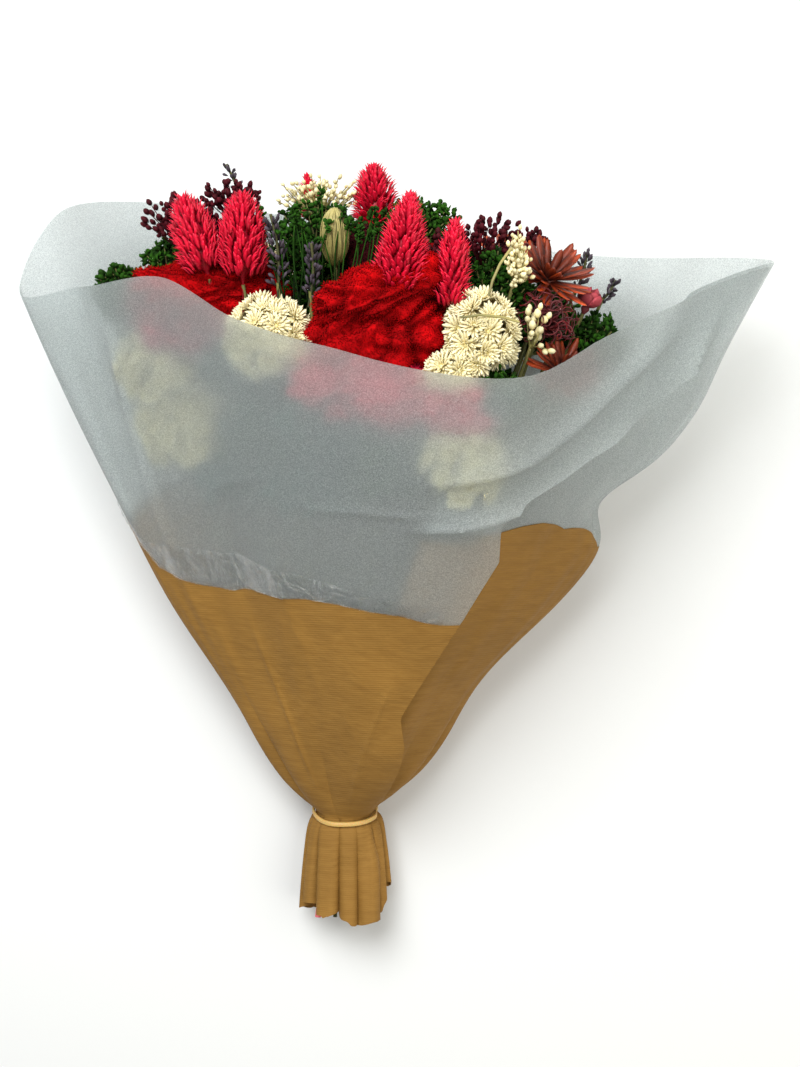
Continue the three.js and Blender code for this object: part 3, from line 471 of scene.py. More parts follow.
# ---------- trees that set, draw and plant ----------
def start_tree(name, sockets):
    """An empty geometry tree with a geometry input and output, and the named inputs given."""
    tree = bpy.data.node_groups.new(name, "GeometryNodeTree")
    tree.interface.new_socket(name="Geometry", in_out="INPUT", socket_type="NodeSocketGeometry")
    for label, kind in sockets.items():
        tree.interface.new_socket(name=label, in_out="INPUT", socket_type=kind)
    tree.interface.new_socket(name="Geometry", in_out="OUTPUT", socket_type="NodeSocketGeometry")
    return tree, tree.nodes.new("NodeGroupInput").outputs


def end_tree(tree, geometry, finish):
    """Realized, given its finish and put out."""
    real = add(tree, "GeometryNodeRealizeInstances", links={"Geometry": geometry})
    dressed = add(
        tree, "GeometryNodeSetMaterial", links={"Geometry": real.outputs["Geometry"], "Material": finish}
    )
    tree.links.new(dressed.outputs["Geometry"], tree.nodes.new("NodeGroupOutput").inputs["Geometry"])
    return tree


def seat_tree():
    """Sets one shape on every seat, turned and stretched as the seat says, a little off in size and twist."""
    tree, given = start_tree(
        "shapes_on_seats",
        {
            "Shape": "NodeSocketObject",
            "Size variation": "NodeSocketFloat",
            "Twist": "NodeSocketFloat",
            "Seed": "NodeSocketInt",
            "Finish": "NodeSocketMaterial",
        },
    )
    shape = add(tree, "GeometryNodeObjectInfo", links={"Object": given["Shape"]})
    turn = add(tree, "GeometryNodeInputNamedAttribute", data_type="FLOAT_VECTOR", values={"Name": "turn"})
    stretch = add(
        tree, "GeometryNodeInputNamedAttribute", data_type="FLOAT_VECTOR", values={"Name": "stretch"}
    )
    low = add(
        tree, "ShaderNodeMath", operation="SUBTRACT", values={0: 1.0}, links={1: given["Size variation"]}
    )
    high = add(tree, "ShaderNodeMath", operation="ADD", values={0: 1.0}, links={1: given["Size variation"]})
    size = add(
        tree, "FunctionNodeRandomValue",
        links={2: low.outputs["Value"], 3: high.outputs["Value"], "Seed": given["Seed"]},
    )
    sized = add(
        tree, "ShaderNodeVectorMath", operation="SCALE",
        links={0: stretch.outputs["Attribute"], "Scale": size.outputs[1]},
    )
    back = add(tree, "ShaderNodeMath", operation="MULTIPLY", values={1: -1.0}, links={0: given["Twist"]})
    next_seed = add(tree, "ShaderNodeMath", operation="ADD", values={1: 7.0}, links={0: given["Seed"]})
    twist = add(
        tree, "FunctionNodeRandomValue",
        links={2: back.outputs["Value"], 3: given["Twist"], "Seed": next_seed.outputs["Value"]},
    )
    about = add(
        tree, "FunctionNodeAxisAngleToRotation", values={"Axis": (0, 0, 1)}, links={"Angle": twist.outputs[1]}
    )
    faced = add(tree, "FunctionNodeEulerToRotation", links={"Euler": turn.outputs["Attribute"]})
    turned = add(
        tree, "FunctionNodeRotateRotation", rotation_space="LOCAL",
        links={"Rotation": faced.outputs["Rotation"], "Rotate By": about.outputs["Rotation"]},
    )
    seated = add(
        tree, "GeometryNodeInstanceOnPoints",
        links={
            "Points": given["Geometry"],
            "Instance": shape.outputs["Geometry"],
            "Rotation": turned.outputs["Rotation"],
            "Scale": sized.outputs["Vector"],
        },
    )
    return end_tree(tree, seated.outputs["Instances"], given["Finish"])


def rod_tree():
    """Draws a closed round rod along every line, as thick as the line says."""
    tree, given = start_tree(
        "rods_along_lines",
        {"Sides": "NodeSocketInt", "Thickness": "NodeSocketFloat", "Finish": "NodeSocketMaterial"},
    )
    line = add(tree, "GeometryNodeMeshToCurve", links={"Mesh": given["Geometry"]})
    ring = add(
        tree, "GeometryNodeCurvePrimitiveCircle", values={"Radius": 1.0}, links={"Resolution": given["Sides"]}
    )
    thick = add(tree, "GeometryNodeInputNamedAttribute", data_type="FLOAT", values={"Name": "rod"})
    scaled = add(
        tree, "ShaderNodeMath", operation="MULTIPLY",
        links={0: thick.outputs["Attribute"], 1: given["Thickness"]},
    )
    rod = add(
        tree, "GeometryNodeCurveToMesh", values={"Fill Caps": True},
        links={
            "Curve": line.outputs["Curve"],
            "Profile Curve": ring.outputs["Curve"],
            "Scale": scaled.outputs["Value"],
        },
    )
    return end_tree(tree, rod.outputs["Mesh"], given["Finish"])


def tuft_tree():
    """Plants small hairs all over a body, standing up from it with a chance lean."""
    tree, given = start_tree(
        "tufts_over_a_body",
        {
            "Tuft": "NodeSocketObject",
            "Tufts per square metre": "NodeSocketFloat",
            "Tuft width": "NodeSocketFloat",
            "Tuft length": "NodeSocketFloat",
            "Lean": "NodeSocketFloat",
            "Seed": "NodeSocketInt",
            "Finish": "NodeSocketMaterial",
        },
    )
    tuft = add(tree, "GeometryNodeObjectInfo", links={"Object": given["Tuft"]})
    seats = add(
        tree, "GeometryNodeDistributePointsOnFaces",
        links={"Mesh": given["Geometry"], "Density": given["Tufts per square metre"], "Seed": given["Seed"]},
    )
    # Each hair's shade is a chance share of the body's shade at its seat, so the painted shade of a comb's
    # creases carries onto its fuzz.
    body_shade = add(tree, "GeometryNodeInputNamedAttribute", data_type="FLOAT", values={"Name": "shade"})
    chance = add(tree, "FunctionNodeRandomValue", values={2: 0.75, 3: 1.25}, links={"Seed": given["Seed"]})
    shade = add(
        tree, "ShaderNodeMath", operation="MULTIPLY",
        links={0: chance.outputs[1], 1: body_shade.outputs["Attribute"]},
    )
    marked = add(
        tree, "GeometryNodeStoreNamedAttribute", data_type="FLOAT", domain="POINT", values={"Name": "shade"},
        links={"Geometry": seats.outputs["Points"], "Value": shade.outputs["Value"]},
    )
    back = add(tree, "ShaderNodeMath", operation="MULTIPLY", values={1: -1.0}, links={0: given["Lean"]})
    # Z is free, just under half a turn either way, so that no two tufts lean alike.
    low = add(
        tree, "ShaderNodeCombineXYZ", values={"Z": -3.1},
        links={"X": back.outputs["Value"], "Y": back.outputs["Value"]},
    )
    high = add(
        tree, "ShaderNodeCombineXYZ", values={"Z": 3.1}, links={"X": given["Lean"], "Y": given["Lean"]}
    )
    lean = add(
        tree, "FunctionNodeRandomValue", data_type="FLOAT_VECTOR",
        links={0: low.outputs["Vector"], 1: high.outputs["Vector"], "Seed": given["Seed"]},
    )
    tipped = add(tree, "FunctionNodeEulerToRotation", links={"Euler": lean.outputs[0]})
    turned = add(
        tree, "FunctionNodeRotateRotation", rotation_space="LOCAL",
        links={"Rotation": seats.outputs["Rotation"], "Rotate By": tipped.outputs["Rotation"]},
    )
    reach = add(tree, "FunctionNodeRandomValue", values={2: 0.6, 3: 1.3}, links={"Seed": given["Seed"]})
    long = add(
        tree, "ShaderNodeMath", operation="MULTIPLY", links={0: reach.outputs[1], 1: given["Tuft length"]}
    )
    size = add(
        tree, "ShaderNodeCombineXYZ",
        links={"X": given["Tuft width"], "Y": given["Tuft width"], "Z": long.outputs["Value"]},
    )
    planted = add(
        tree, "GeometryNodeInstanceOnPoints",
        links={
            "Points": marked.outputs["Geometry"],
            "Instance": tuft.outputs["Geometry"],
            "Rotation": turned.outputs["Rotation"],
            "Scale": size.outputs["Vector"],
        },
    )
    return end_tree(tree, planted.outputs["Instances"], given["Finish"])


SEATS = seat_tree()
RODS = rod_tree()
TUFTS = tuft_tree()


def grown(name, carrier, tree, inputs):
    """The plain mesh that a tree makes from a carrier, as a new object; the carrier is then removed."""
    modifier = carrier.modifiers.new("grow", "NODES")
    modifier.node_group = tree
    sockets = {s.name: s.identifier for s in tree.interface.items_tree if s.in_out == "INPUT"}
    for label, value in inputs.items():
        modifier[sockets[label]] = value
    graph = bpy.context.evaluated_depsgraph_get()
    mesh = bpy.data.meshes.new_from_object(
        carrier.evaluated_get(graph), preserve_all_data_layers=True, depsgraph=graph
    )
    bpy.data.objects.remove(carrier)
    mesh.name = name
    return placed(name, mesh)


def seat(at, way, face, size, shade=1.0):
    """One place for a shape: its root, the ways that it grows and faces, its width, thickness and length,
    and its shade."""
    return (*at, *unit(way), *face, *size, shade)


def set_shapes(name, shape, seats, finish, seed, vary=0.12):
    """One piece with the shape on every seat. vary is the share by which sizes differ by chance."""
    twist = math.radians(10)
    rows = np.array(seats, float)
    way, face = rows[:, 3:6], rows[:, 6:9]
    across = unit(np.cross(face, way))
    face = np.cross(way, across)
    turn = np.stack(
        (
            np.arctan2(face[:, 2], way[:, 2]),
            np.arcsin(np.clip(-across[:, 2], -1, 1)),
            np.arctan2(across[:, 1], across[:, 0]),
        ), axis=1,
    )
    mesh = bpy.data.meshes.new(name + "_seats")
    mesh.from_pydata([tuple(p) for p in metres(rows[:, :3])], [], [])
    mesh.attributes.new("turn", "FLOAT_VECTOR", "POINT").data.foreach_set("vector", turn.ravel())
    mesh.attributes.new("stretch", "FLOAT_VECTOR", "POINT").data.foreach_set(
        "vector", (rows[:, 9:12] / 1000).ravel()
    )
    mark(mesh, shade=rows[:, 12])
    inputs = {"Shape": shape, "Size variation": vary, "Twist": twist, "Seed": seed, "Finish": finish}
    return grown(name, placed(name + "_seats", mesh), SEATS, inputs)


def draw_rods(name, lines, finish, sides=6):
    """One piece with a rod along every line. A line is (points, radii, shade), in millimetres."""
    points, edges, radii, along, shades = [], [], [], [], []
    for line, radius, shade in lines:
        start = len(points)
        count = len(line)
        points.extend(line)
        edges.extend((start + k, start + k + 1) for k in range(count - 1))
        radii.extend(np.broadcast_to(radius, count) / 1000)
        along.extend(np.linspace(0, 1, count))
        shades.extend([shade] * count)
    mesh = bpy.data.meshes.new(name + "_lines")
    mesh.from_pydata([tuple(p) for p in metres(points)], edges, [])
    mark(mesh, rod=radii, along=along, shade=shades)
    inputs = {"Sides": sides, "Thickness": 1.0, "Finish": finish}
    return grown(name, placed(name + "_lines", mesh), RODS, inputs)


def hand_over(piece, slot, *nodes):
    """The finished piece rides on the bunch and stands for its solids, which are hidden. slot is not used."""
    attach(piece, "root")
    if nodes:
        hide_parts(*nodes)


# ---------- camera, floor and light ----------
CAMERA_AT = (34, 172, 1100)
AIM_OF_LIGHTS = (0, 200, 60)
# Name, place, size in metres, power in watts and colour.
LIGHTS = (
    ("window", (-300, 720, 1100), 0.8, 21, (0.95, 0.98, 1.0)),
    ("fill", (750, 50, 850), 1.2, 7.5, (1.0, 0.97, 0.88)),
)


def set_camera():
    """A camera that looks straight down on the bunch."""
    lens = bpy.data.cameras.new("camera")
    lens.sensor_width = 36
    lens.lens = 58.2
    camera = placed("camera", lens)
    camera.location = metres(CAMERA_AT)
    scene.camera = camera


def set_stage():
    """A plain matt white floor, an even sky and two soft lights."""
    mesh = bpy.data.meshes.new("floor")
    reach = 4
    corners = [(-reach, -reach, 0), (reach, -reach, 0), (reach, reach, 0), (-reach, reach, 0)]
    mesh.from_pydata(corners, [], [(0, 1, 2, 3)])
    mesh.materials.append(start_finish("matt_white_floor", "#dadad8", Roughness=0.9)[0])
    floor = placed("floor", mesh)
    world = bpy.data.worlds.new("studio")
    world.use_nodes = True
    sky = world.node_tree.nodes["Background"]
    sky.inputs["Color"].default_value = (1, 1, 1, 1)
    sky.inputs["Strength"].default_value = 0.42
    scene.world = world
    scene.view_settings.view_transform = "Standard"
    for name, place, size, power, colour in LIGHTS:
        light = bpy.data.lights.new(name, "AREA")
        light.size = size
        light.energy = power
        light.color = colour
        lamp = placed(name, light)
        lamp.location = metres(place)
        aim = metres(AIM_OF_LIGHTS) - metres(place)
        lamp.rotation_euler = Vector(aim).to_track_quat("-Z", "Y").to_euler()


set_camera()
set_stage()

# ---------- the wrap ----------
# A place on the wrap has an unrolled angle, which falls from the hidden inner edge to the front panel's
# free edge through more than a full turn, and a share: -1 at the skirt's end, 0 at the neck, 1 at the top
# edge. The tied neck's half widths, and how far it leans along the stems for each millimetre up.
TIE = {"x": 18.0, "z": 15.2, "lean": 0.36}
SKIRT = {"x": 29.5, "z": 19.0, "pleats": 9, "pleat": 3.9, "neck_pleat": 0.5}
# The shares within which the paper stays as narrow as the neck.
NECK_ABOVE, NECK_BELOW = 0.012, 0.06
# How far the outer layer stands off the inner one, and its free edge off that.
LAYER_STEP, EDGE_LIFT = 2.8, 12.0
# The unrolled angle after which the columns fan out to the free edge.
LAST_STRAIGHT = -280.0
# Kraft rows are level up to the first share, and bend from there until the last, at the second, is the seam.
KRAFT_LEVEL, KRAFT_TOP = 0.25, 0.6
# How far the kraft paper stops short of the seam, and the fibre sheet goes under it, in shares.
SEAM_GAP, SEAM_LAP = 0.0015, 0.014
# Where the sheet starts, under its own outer layer: share and angle.
INNER_EDGE = np.array(((-1, 88), (0.3, 86), (0.5, 78), (0.76, 74), (0.82, 56), (0.9, 44), (1, 38)), float)
# The wrap's top edge: angle round the section (0 right, 90 front, 180 left, 270 back), x, y and z.
RIM = np.array(
    [
        (0, 251, 329, 100), (23, 230, 322, 124), (56, 141, 278, 176), (66, 100, 256, 197),
        (77, 55, 257, 203), (90, 2, 269, 196), (106, -52, 288, 178), (120, -93, 313, 154),
        (139, -140, 312, 128), (180, -186, 313, 100), (207, -166, 360, 88), (225, -132, 375, 46),
        (257, -40, 375, 1), (284, 60, 362, 0), (306, 149, 344, 34), (344, 240, 334, 86),
    ], float,
)
# Where kraft paper meets fibre sheet: unrolled angle and share of the way from neck to rim.
SEAM = np.array(
    [
        (-340, 0.43), (-300, 0.5), (-283, 0.516), (-269, 0.511), (-260, 0.497), (-250, 0.477),
        (-236, 0.453), (-222, 0.466), (-207, 0.482), (-197, 0.5), (-188, 0.56), (-180, 0.58),
        (-90, 0.5), (0, 0.5), (37, 0.577), (50, 0.63), (64, 0.665), (110, 0.665),
    ]
)
# The front panel's free edge: share and unrolled angle.
FREE_EDGE = np.array(
    [
        (-1, -318), (0, -318), (0.04, -305), (0.08, -297), (0.13, -294.5), (0.22, -293), (0.29, -289),
        (0.41, -292), (0.51, -294.5), (0.63, -297), (0.72, -295), (0.76, -297), (0.79, -306),
        (0.82, -321), (0.9, -337), (1, -345),
    ]
)
# The skirt's hem: angle round the section and how far the paper reaches below the tie. It is cut unevenly,
# with a notch at the front where two big pleats part.
HEM = np.array(
    [
        (0, 46), (14, 47), (24, 55), (42, 65), (65, 70), (84, 69), (92, 64), (98, 53), (104, 61),
        (110, 64.5), (122, 64), (130, 60), (140, 57), (150, 56), (160, 60), (180, 62), (225, 64),
        (270, 62), (315, 58), (360, 46),
    ], float,
)
# The sharp valleys between the skirt's pleats: angle and depth.
VALLEYS = (
    ((14, 9), (46, 10), (72, 8), (98, 9), (132, 9), (160, 9))
    + ((190, 8), (226, 6), (262, 5), (300, 6), (336, 8))
)


def rim_at(angle):
    """The top edge's place at an angle, as a smooth closed curve through its table."""
    n = len(RIM)
    turn = np.mod(angle, 360)
    i = np.searchsorted(RIM[:, 0], turn, side="right") - 1

    def key(k):
        return RIM[np.mod(k, n), 0] + 360 * np.floor_divide(k, n)

    k0, k1, k2, k3 = key(i - 1), key(i), key(i + 1), key(i + 2)
    t = ((turn - k1) / (k2 - k1))[..., None]
    p0, p1, p2, p3 = (RIM[np.mod(k, n), 1:] for k in (i - 1, i, i + 1, i + 2))
    slope1 = (p2 - p0) * ((k2 - k1) / (k2 - k0))[..., None]
    slope2 = (p3 - p1) * ((k2 - k1) / (k3 - k1))[..., None]
    t2, t3 = t * t, t * t * t
    from_p1 = (2 * t3 - 3 * t2 + 1) * p1 + (t3 - 2 * t2 + t) * slope1
    return from_p1 + (3 * t2 - 2 * t3) * p2 + (t3 - t2) * slope2


def seam_share(unrolled):
    """How far up the wrap its seam lies."""
    return np.interp(unrolled, SEAM[:, 0], SEAM[:, 1])


def edge_angle(share):
    """The unrolled angle of the front panel's free edge."""
    return np.interp(share, FREE_EDGE[:, 0], FREE_EDGE[:, 1])


def cone_point(angle, share):
    """A place on the wrap's cone: share is 0 at the neck, 1 at the top edge and -1 at the skirt's end."""
    a = np.radians(angle)
    c, s = np.cos(a), np.sin(a)
    fold = (SKIRT["pleats"] * a + 0.8 * np.sin(2 * a)) / 2
    # Pleats are round outside with sharp valleys between them.
    wave = 0.35 * np.cos(2 * fold) + 0.65 * (2 * np.abs(np.cos(fold)) ** 0.8 - 1)
    down = np.maximum(0, -share - NECK_BELOW) / (1 - NECK_BELOW)
    opened = down**0.33
    turn = np.mod(angle, 360)
    folded = np.full_like(turn, -0.2 * SKIRT["pleat"])
    for valley, deep in VALLEYS:
        apart = np.abs(np.mod(turn - valley + 180, 360) - 180)
        folded = folded - deep * np.exp(-((apart / (3.4 + 2.6 * down)) ** 3))
    pleat = mix(SKIRT["neck_pleat"] * wave, folded, smooth(down, -0.08, 0.45))
    ragged = 0.6 * np.sin(23 * a + 2 * np.sin(9 * a)) * smooth(down, 0.93, 1)
    length = np.interp(turn, HEM[:, 0], HEM[:, 1]) + ragged
    skirt = np.stack(
        (
            c * (mix(TIE["x"], SKIRT["x"], opened) + pleat),
            -TIE["lean"] * TIE["z"] * s * (1 - down) + share * length,
            np.maximum(0, TIE_HEIGHT + s * (mix(TIE["z"], SKIRT["z"], opened) + pleat)),
        ), axis=-1,
    )
    up = np.maximum(share, 0)
    pleat = SKIRT["neck_pleat"] * wave + 2.2 * wave * smooth(up, 0.012, 0.08) * (1 - smooth(up, 0.1, 0.3))
    rim = rim_at(angle)
    rising = np.maximum(0, up - NECK_ABOVE) / (1 - NECK_ABOVE)
    sideways, upward = rising**0.75, rising**0.85
    # The right side is pinched in below its flap, both sides at the waist, and the underside sags.
    right = np.maximum(0, c) ** 6
    dent = 4 * np.exp(-(((up - 0.75) / 0.075) ** 2)) - 20 * np.exp(-(((up - 0.58) / 0.06) ** 2))
    waist = np.where(c > 0, -15.0, 4.0) * np.exp(-(((up - 0.25) / 0.13) ** 2)) * c * c
    sag = 9 * np.sin(math.pi * rising**0.6) * smooth(-s, 0.3, 0.9)
    body = np.stack(
        (
            mix(c * (TIE["x"] + pleat), rim[..., 0], sideways) + right * dent + waist,
            mix(-TIE["lean"] * TIE["z"] * s, rim[..., 1], up),
            np.maximum(0, mix(TIE_HEIGHT + s * (TIE["z"] + pleat), rim[..., 2], upward) - sag),
        ), axis=-1,
    )
    return np.where((share <= 0)[..., None], skirt, body)


def cone_normal(angle, share):
    """The way out of the wrap's face."""
    around = cone_point(angle + 2, share) - cone_point(angle - 2, share)
    up = cone_point(angle, np.minimum(1, share + 0.02)) - cone_point(angle, np.maximum(-1, share - 0.02))
    return -unit(np.cross(around, up))


def rumple(angle, share):
    """Soft folds that run from the tie towards the top edge, in millimetres outwards."""
    a = np.radians(angle)
    folds = (
        0.9 * np.sin(7 * a + 1.3 + 1.7 * np.sin(5 * share))
        + 0.7 * np.sin(12 * a + 4 * share + 0.6)
        + 0.5 * np.sin(19 * a - 6 * share)
        + 0.3 * np.sin(33 * a + 9 * share)
    )
    return (1.2 + folds) * smooth(share, 0.1, 0.5) * 0.75


# The sheet's long sharp folds: where each starts and ends as (unrolled angle, share), its height and half
# width.
CREASES = (
    ((-284, 0.70), (-316, 0.815), 7.0, 5.5),
    ((-286, 0.80), (-320, 0.945), 5.5, 5.0),
    ((-289, 0.87), (-294, 0.99), 2.2, 3.5),
    ((-304, 0.70), (-322, 0.70), -4.5, 4.0),
    ((-324, 0.66), (-331, 0.95), 5.0, 4.0),
    ((-262, 0.68), (-284, 0.73), 1.4, 3.0),
    ((-232, 0.60), (-255, 0.72), 1.2, 3.0),
    ((-212, 0.55), (-222, 0.93), 1.6, 4.0),
    ((-246, 0.10), (-238, 0.42), 1.5, 3.0),
    ((-276, 0.06), (-284, 0.36), 1.6, 3.0),
    ((-262, 0.30), (-250, 0.60), 1.0, 3.5),
)


def crease(unrolled, share):
    """How far the long folds stand out, in millimetres."""
    total = 0
    # Millimetres for each degree and for each whole share, so that a fold is as wide everywhere.
    scale = np.array((2.4, 300.0))
    place = np.stack(np.broadcast_arrays(unrolled, share), axis=-1) * scale
    for start, end, height, half in CREASES:
        first, last = np.array(start) * scale, np.array(end) * scale
        along = last - first
        part = ((place - first) @ along) / (along @ along)
        inside = smooth(part, -0.15, 0.2) * (1 - smooth(part, 0.8, 1.1))
        off = (place - first) @ np.array((-along[1], along[0])) / np.hypot(*along)
        total = total + height * inside * np.exp(-np.abs(off) / half)
    return total


def sheet_point(unrolled, share, depth):
    """A place of the sheet, by unrolled angle, share and depth below its outer face."""
    lift = EDGE_LIFT * smooth(-unrolled, 258, 312) * smooth(share, 0.01, 0.2) * (1 - smooth(share, 0.8, 1))
    flap = 7.0 * smooth(-unrolled, 296, 318) * smooth(-share, 0.12, 0.5)
    layer = LAYER_STEP * smooth(-unrolled, 150, 258)
    out = layer + lift + flap + rumple(unrolled, share) + crease(unrolled, share) - depth
    place = cone_point(unrolled, share) + cone_normal(unrolled, share) * out[..., None]
    place[..., 2] = np.maximum(depth, place[..., 2])
    return place


def wrap_sheet(name, finish, bases, share_of, depth_of, columns):
    """A closed thin sheet. bases are its rows, share_of gives a row's share at an unrolled angle, depth_of
    how deep its two faces are, and columns how many it has up to LAST_STRAIGHT and from there on."""
    straight, rest = columns
    i = np.arange(straight + rest + 1)
    onward = (np.minimum(i, straight) / straight)[None, :]
    part = (np.maximum(0, i - straight) / rest)[None, :]
    base = np.asarray(bases, float)[:, None]
    unrolled = mix(INNER_EDGE[0, 1], LAST_STRAIGHT, onward) + 0 * base
    # A row's share depends on the angle and both edges on the share, so the two are brought together in
    # rounds.
    for _ in range(4):
        share = share_of(unrolled, base)
        start = mix(np.interp(share, INNER_EDGE[:, 0], INNER_EDGE[:, 1]), LAST_STRAIGHT, onward)
        unrolled = mix(start, edge_angle(share), part)
    share = share_of(unrolled, base)
    outer_depth, inner_depth = depth_of(unrolled, share)
    outer = sheet_point(unrolled, share, outer_depth)
    inner = sheet_point(unrolled, share, inner_depth)
    return thin_sheet(name, finish, outer, inner)


def thin_sheet(name, finish, outer, inner):
    """A closed sheet between two grids of places, with the cut's own lengths as its UV map."""
    rows, columns = outer.shape[:2]
    count = rows * columns
    grid = np.arange(count).reshape(rows, columns)
    a, b, c, d = (g.ravel() for g in (grid[:-1, :-1], grid[:-1, 1:], grid[1:, 1:], grid[1:, :-1]))
    faces = np.concatenate((np.stack((a, b, c, d), 1), count + np.stack((d, c, b, a), 1)))
    loop = np.concatenate((grid[0, :-1], grid[:-1, -1], grid[-1, :0:-1], grid[:0:-1, 0]))
    ahead = np.roll(loop, -1)
    faces = np.concatenate((faces, np.stack((ahead, loop, count + loop, count + ahead), 1)))
    points = np.concatenate((outer.reshape(-1, 3), inner.reshape(-1, 3)))
    p, q, r, s = (points[faces[:, k]] for k in range(4))
    volume = np.einsum("ij,ij->i", p, np.cross(q, r)).sum() + np.einsum("ij,ij->i", p, np.cross(r, s)).sum()
    if volume < 0:
        faces = faces[:, ::-1]
    steps = np.linalg.norm(np.diff(outer, axis=1), axis=2)
    across = np.concatenate((np.zeros((rows, 1)), np.cumsum(steps, axis=1)), axis=1)
    uv = np.stack((across, outer[..., 1]), axis=-1).reshape(-1, 2) / 1000
    piece = new_piece(name, points, faces, finish, uv=np.concatenate((uv, uv)))
    piece.data.set_sharp_from_angle(angle=math.radians(70))
    return piece


def kraft_share(unrolled, base):
    """Rows run from the skirt's end at -1 to the seam at KRAFT_TOP."""
    onward = (base - KRAFT_LEVEL) / (KRAFT_TOP - KRAFT_LEVEL)
    return np.where(base <= KRAFT_LEVEL, base, mix(KRAFT_LEVEL, seam_share(unrolled) - SEAM_GAP, onward))


def kraft_depth(unrolled, share):
    """The paper's two faces, under the wrap's own."""
    return 0.15 + 0 * share, 0.5 + 0 * share


def fibre_share(unrolled, base):
    """Rows run from just below the seam at 0 to the top edge at 1."""
    return mix(seam_share(unrolled) - SEAM_LAP, 1.0, base)


def fibre_depth(unrolled, share):
    """Below the seam the fibre sheet lies inside the kraft paper, where the two are glued."""
    inside = 1 - smooth(share - seam_share(unrolled), -0.002, 0.004)
    return 0.2 + 0.55 * inside, 0.5 + 0.55 * inside


kraft_rows = np.concatenate(
    (
        np.linspace(-1, -0.06, 40),
        np.linspace(-0.045, 0.03, 8),
        np.linspace(0.04, KRAFT_LEVEL, 26),
        np.linspace(0.26, KRAFT_TOP, 28),
    )
)
kraft = wrap_sheet("kraft_wrap", KRAFT, kraft_rows, kraft_share, kraft_depth, columns=(306, 22))
fibre = wrap_sheet("fibre_wrap", FIBRE, np.linspace(0, 1, 98), fibre_share, fibre_depth, columns=(330, 32))


def film_strip():
    """A strip of clear film that holds the seam, over the front panel's lower edge."""
    unrolled = np.linspace(-176, -291, 150)[None, :]
    rise = np.linspace(-0.004, 1, 14)[:, None]
    wide = 0.05 + 0.02 * np.sin(np.radians(unrolled) * 3 + 1)
    share = seam_share(unrolled) + rise * wide
    fine, broad = np.radians(unrolled) * 61 + 5 * rise, 7 * rise + np.radians(unrolled) * 23
    crinkle = 0.5 + 0.35 * np.sin(fine) * np.sin(broad)
    outer = sheet_point(unrolled, share, -0.25 - crinkle)
    inner = sheet_point(unrolled, share, -0.13 - crinkle)
    return thin_sheet("seam_film", FILM, outer, inner)


film = film_strip()
hand_over(kraft, "kraft_paper", "kraft_paper")
hand_over(fibre, "fibre_sheet", "fibre_sheet")
hand_over(film, "fibre_sheet")



# ---------- bands and stems ----------
def outer_layer(angle):
    """How far the paper under the band stands out: two layers at the front, one elsewhere."""
    rising = smooth(-(angle - 360), 150, 262)
    return LAYER_STEP * np.where(angle < 90, smooth(angle, 12, 36), rising)


def ring_line(grow_x, grow_z, shift, count):
    """A closed oval round the tie and the paper under it, leaning as the tie does."""
    a = np.linspace(0, 2 * math.pi, count, endpoint=False)
    extra = outer_layer(np.degrees(a))
    rise = (grow_z + extra) * np.sin(a)
    return np.stack(((grow_x + extra) * np.cos(a), shift - TIE["lean"] * rise, TIE_HEIGHT + rise), axis=1)


def rubber_band():
    """A flat band with soft edges, wavering a little over the pleats."""
    count = 120
    snug = 0.7
    narrow = 0.68
    # Its section, from one edge to the other: how far out and how far along.
    half = [(0.1, 1.7), (0.75, 1.95), (1.35, 1.8), (1.55, 1.2)]
    profile = [(out, -along) for out, along in half] + [(1.6, 0)] + half[::-1]
    a = np.linspace(0, 360, count, endpoint=False)
    waver = 0.35 * np.sin(np.radians(a) * 2 + 0.6) + 0.2 * np.sin(np.radians(a) * 5)
    rings = []
    for out, along in profile:
        line = ring_line(TIE["x"] + snug + out, TIE["z"] + snug + out, along * narrow, count)
        line[:, 1] += waver
        rings.append(line)
    grid = np.stack(rings)
    rows = len(profile)
    points = grid.reshape(-1, 3)
    faces = []
    for r in range(rows):
        for k in range(count):
            n, below = (k + 1) % count, (r + 1) % rows
            faces.append((r * count + k, r * count + n, below * count + n, below * count + k))
    crown = grid[len(half)]
    round_it = np.cumsum(np.linalg.norm(np.diff(crown, axis=0, append=crown[:1]), axis=1)) / 1000
    uv = [np.stack((round_it, np.full(count, along / 1000)), axis=1) for _, along in profile]
    uv = np.concatenate(uv)
    return new_piece("rubber_band_flat", points, outward(points, faces), RUBBER, uv=uv)


hand_over(rubber_band(), "rubber", "rubber_band")

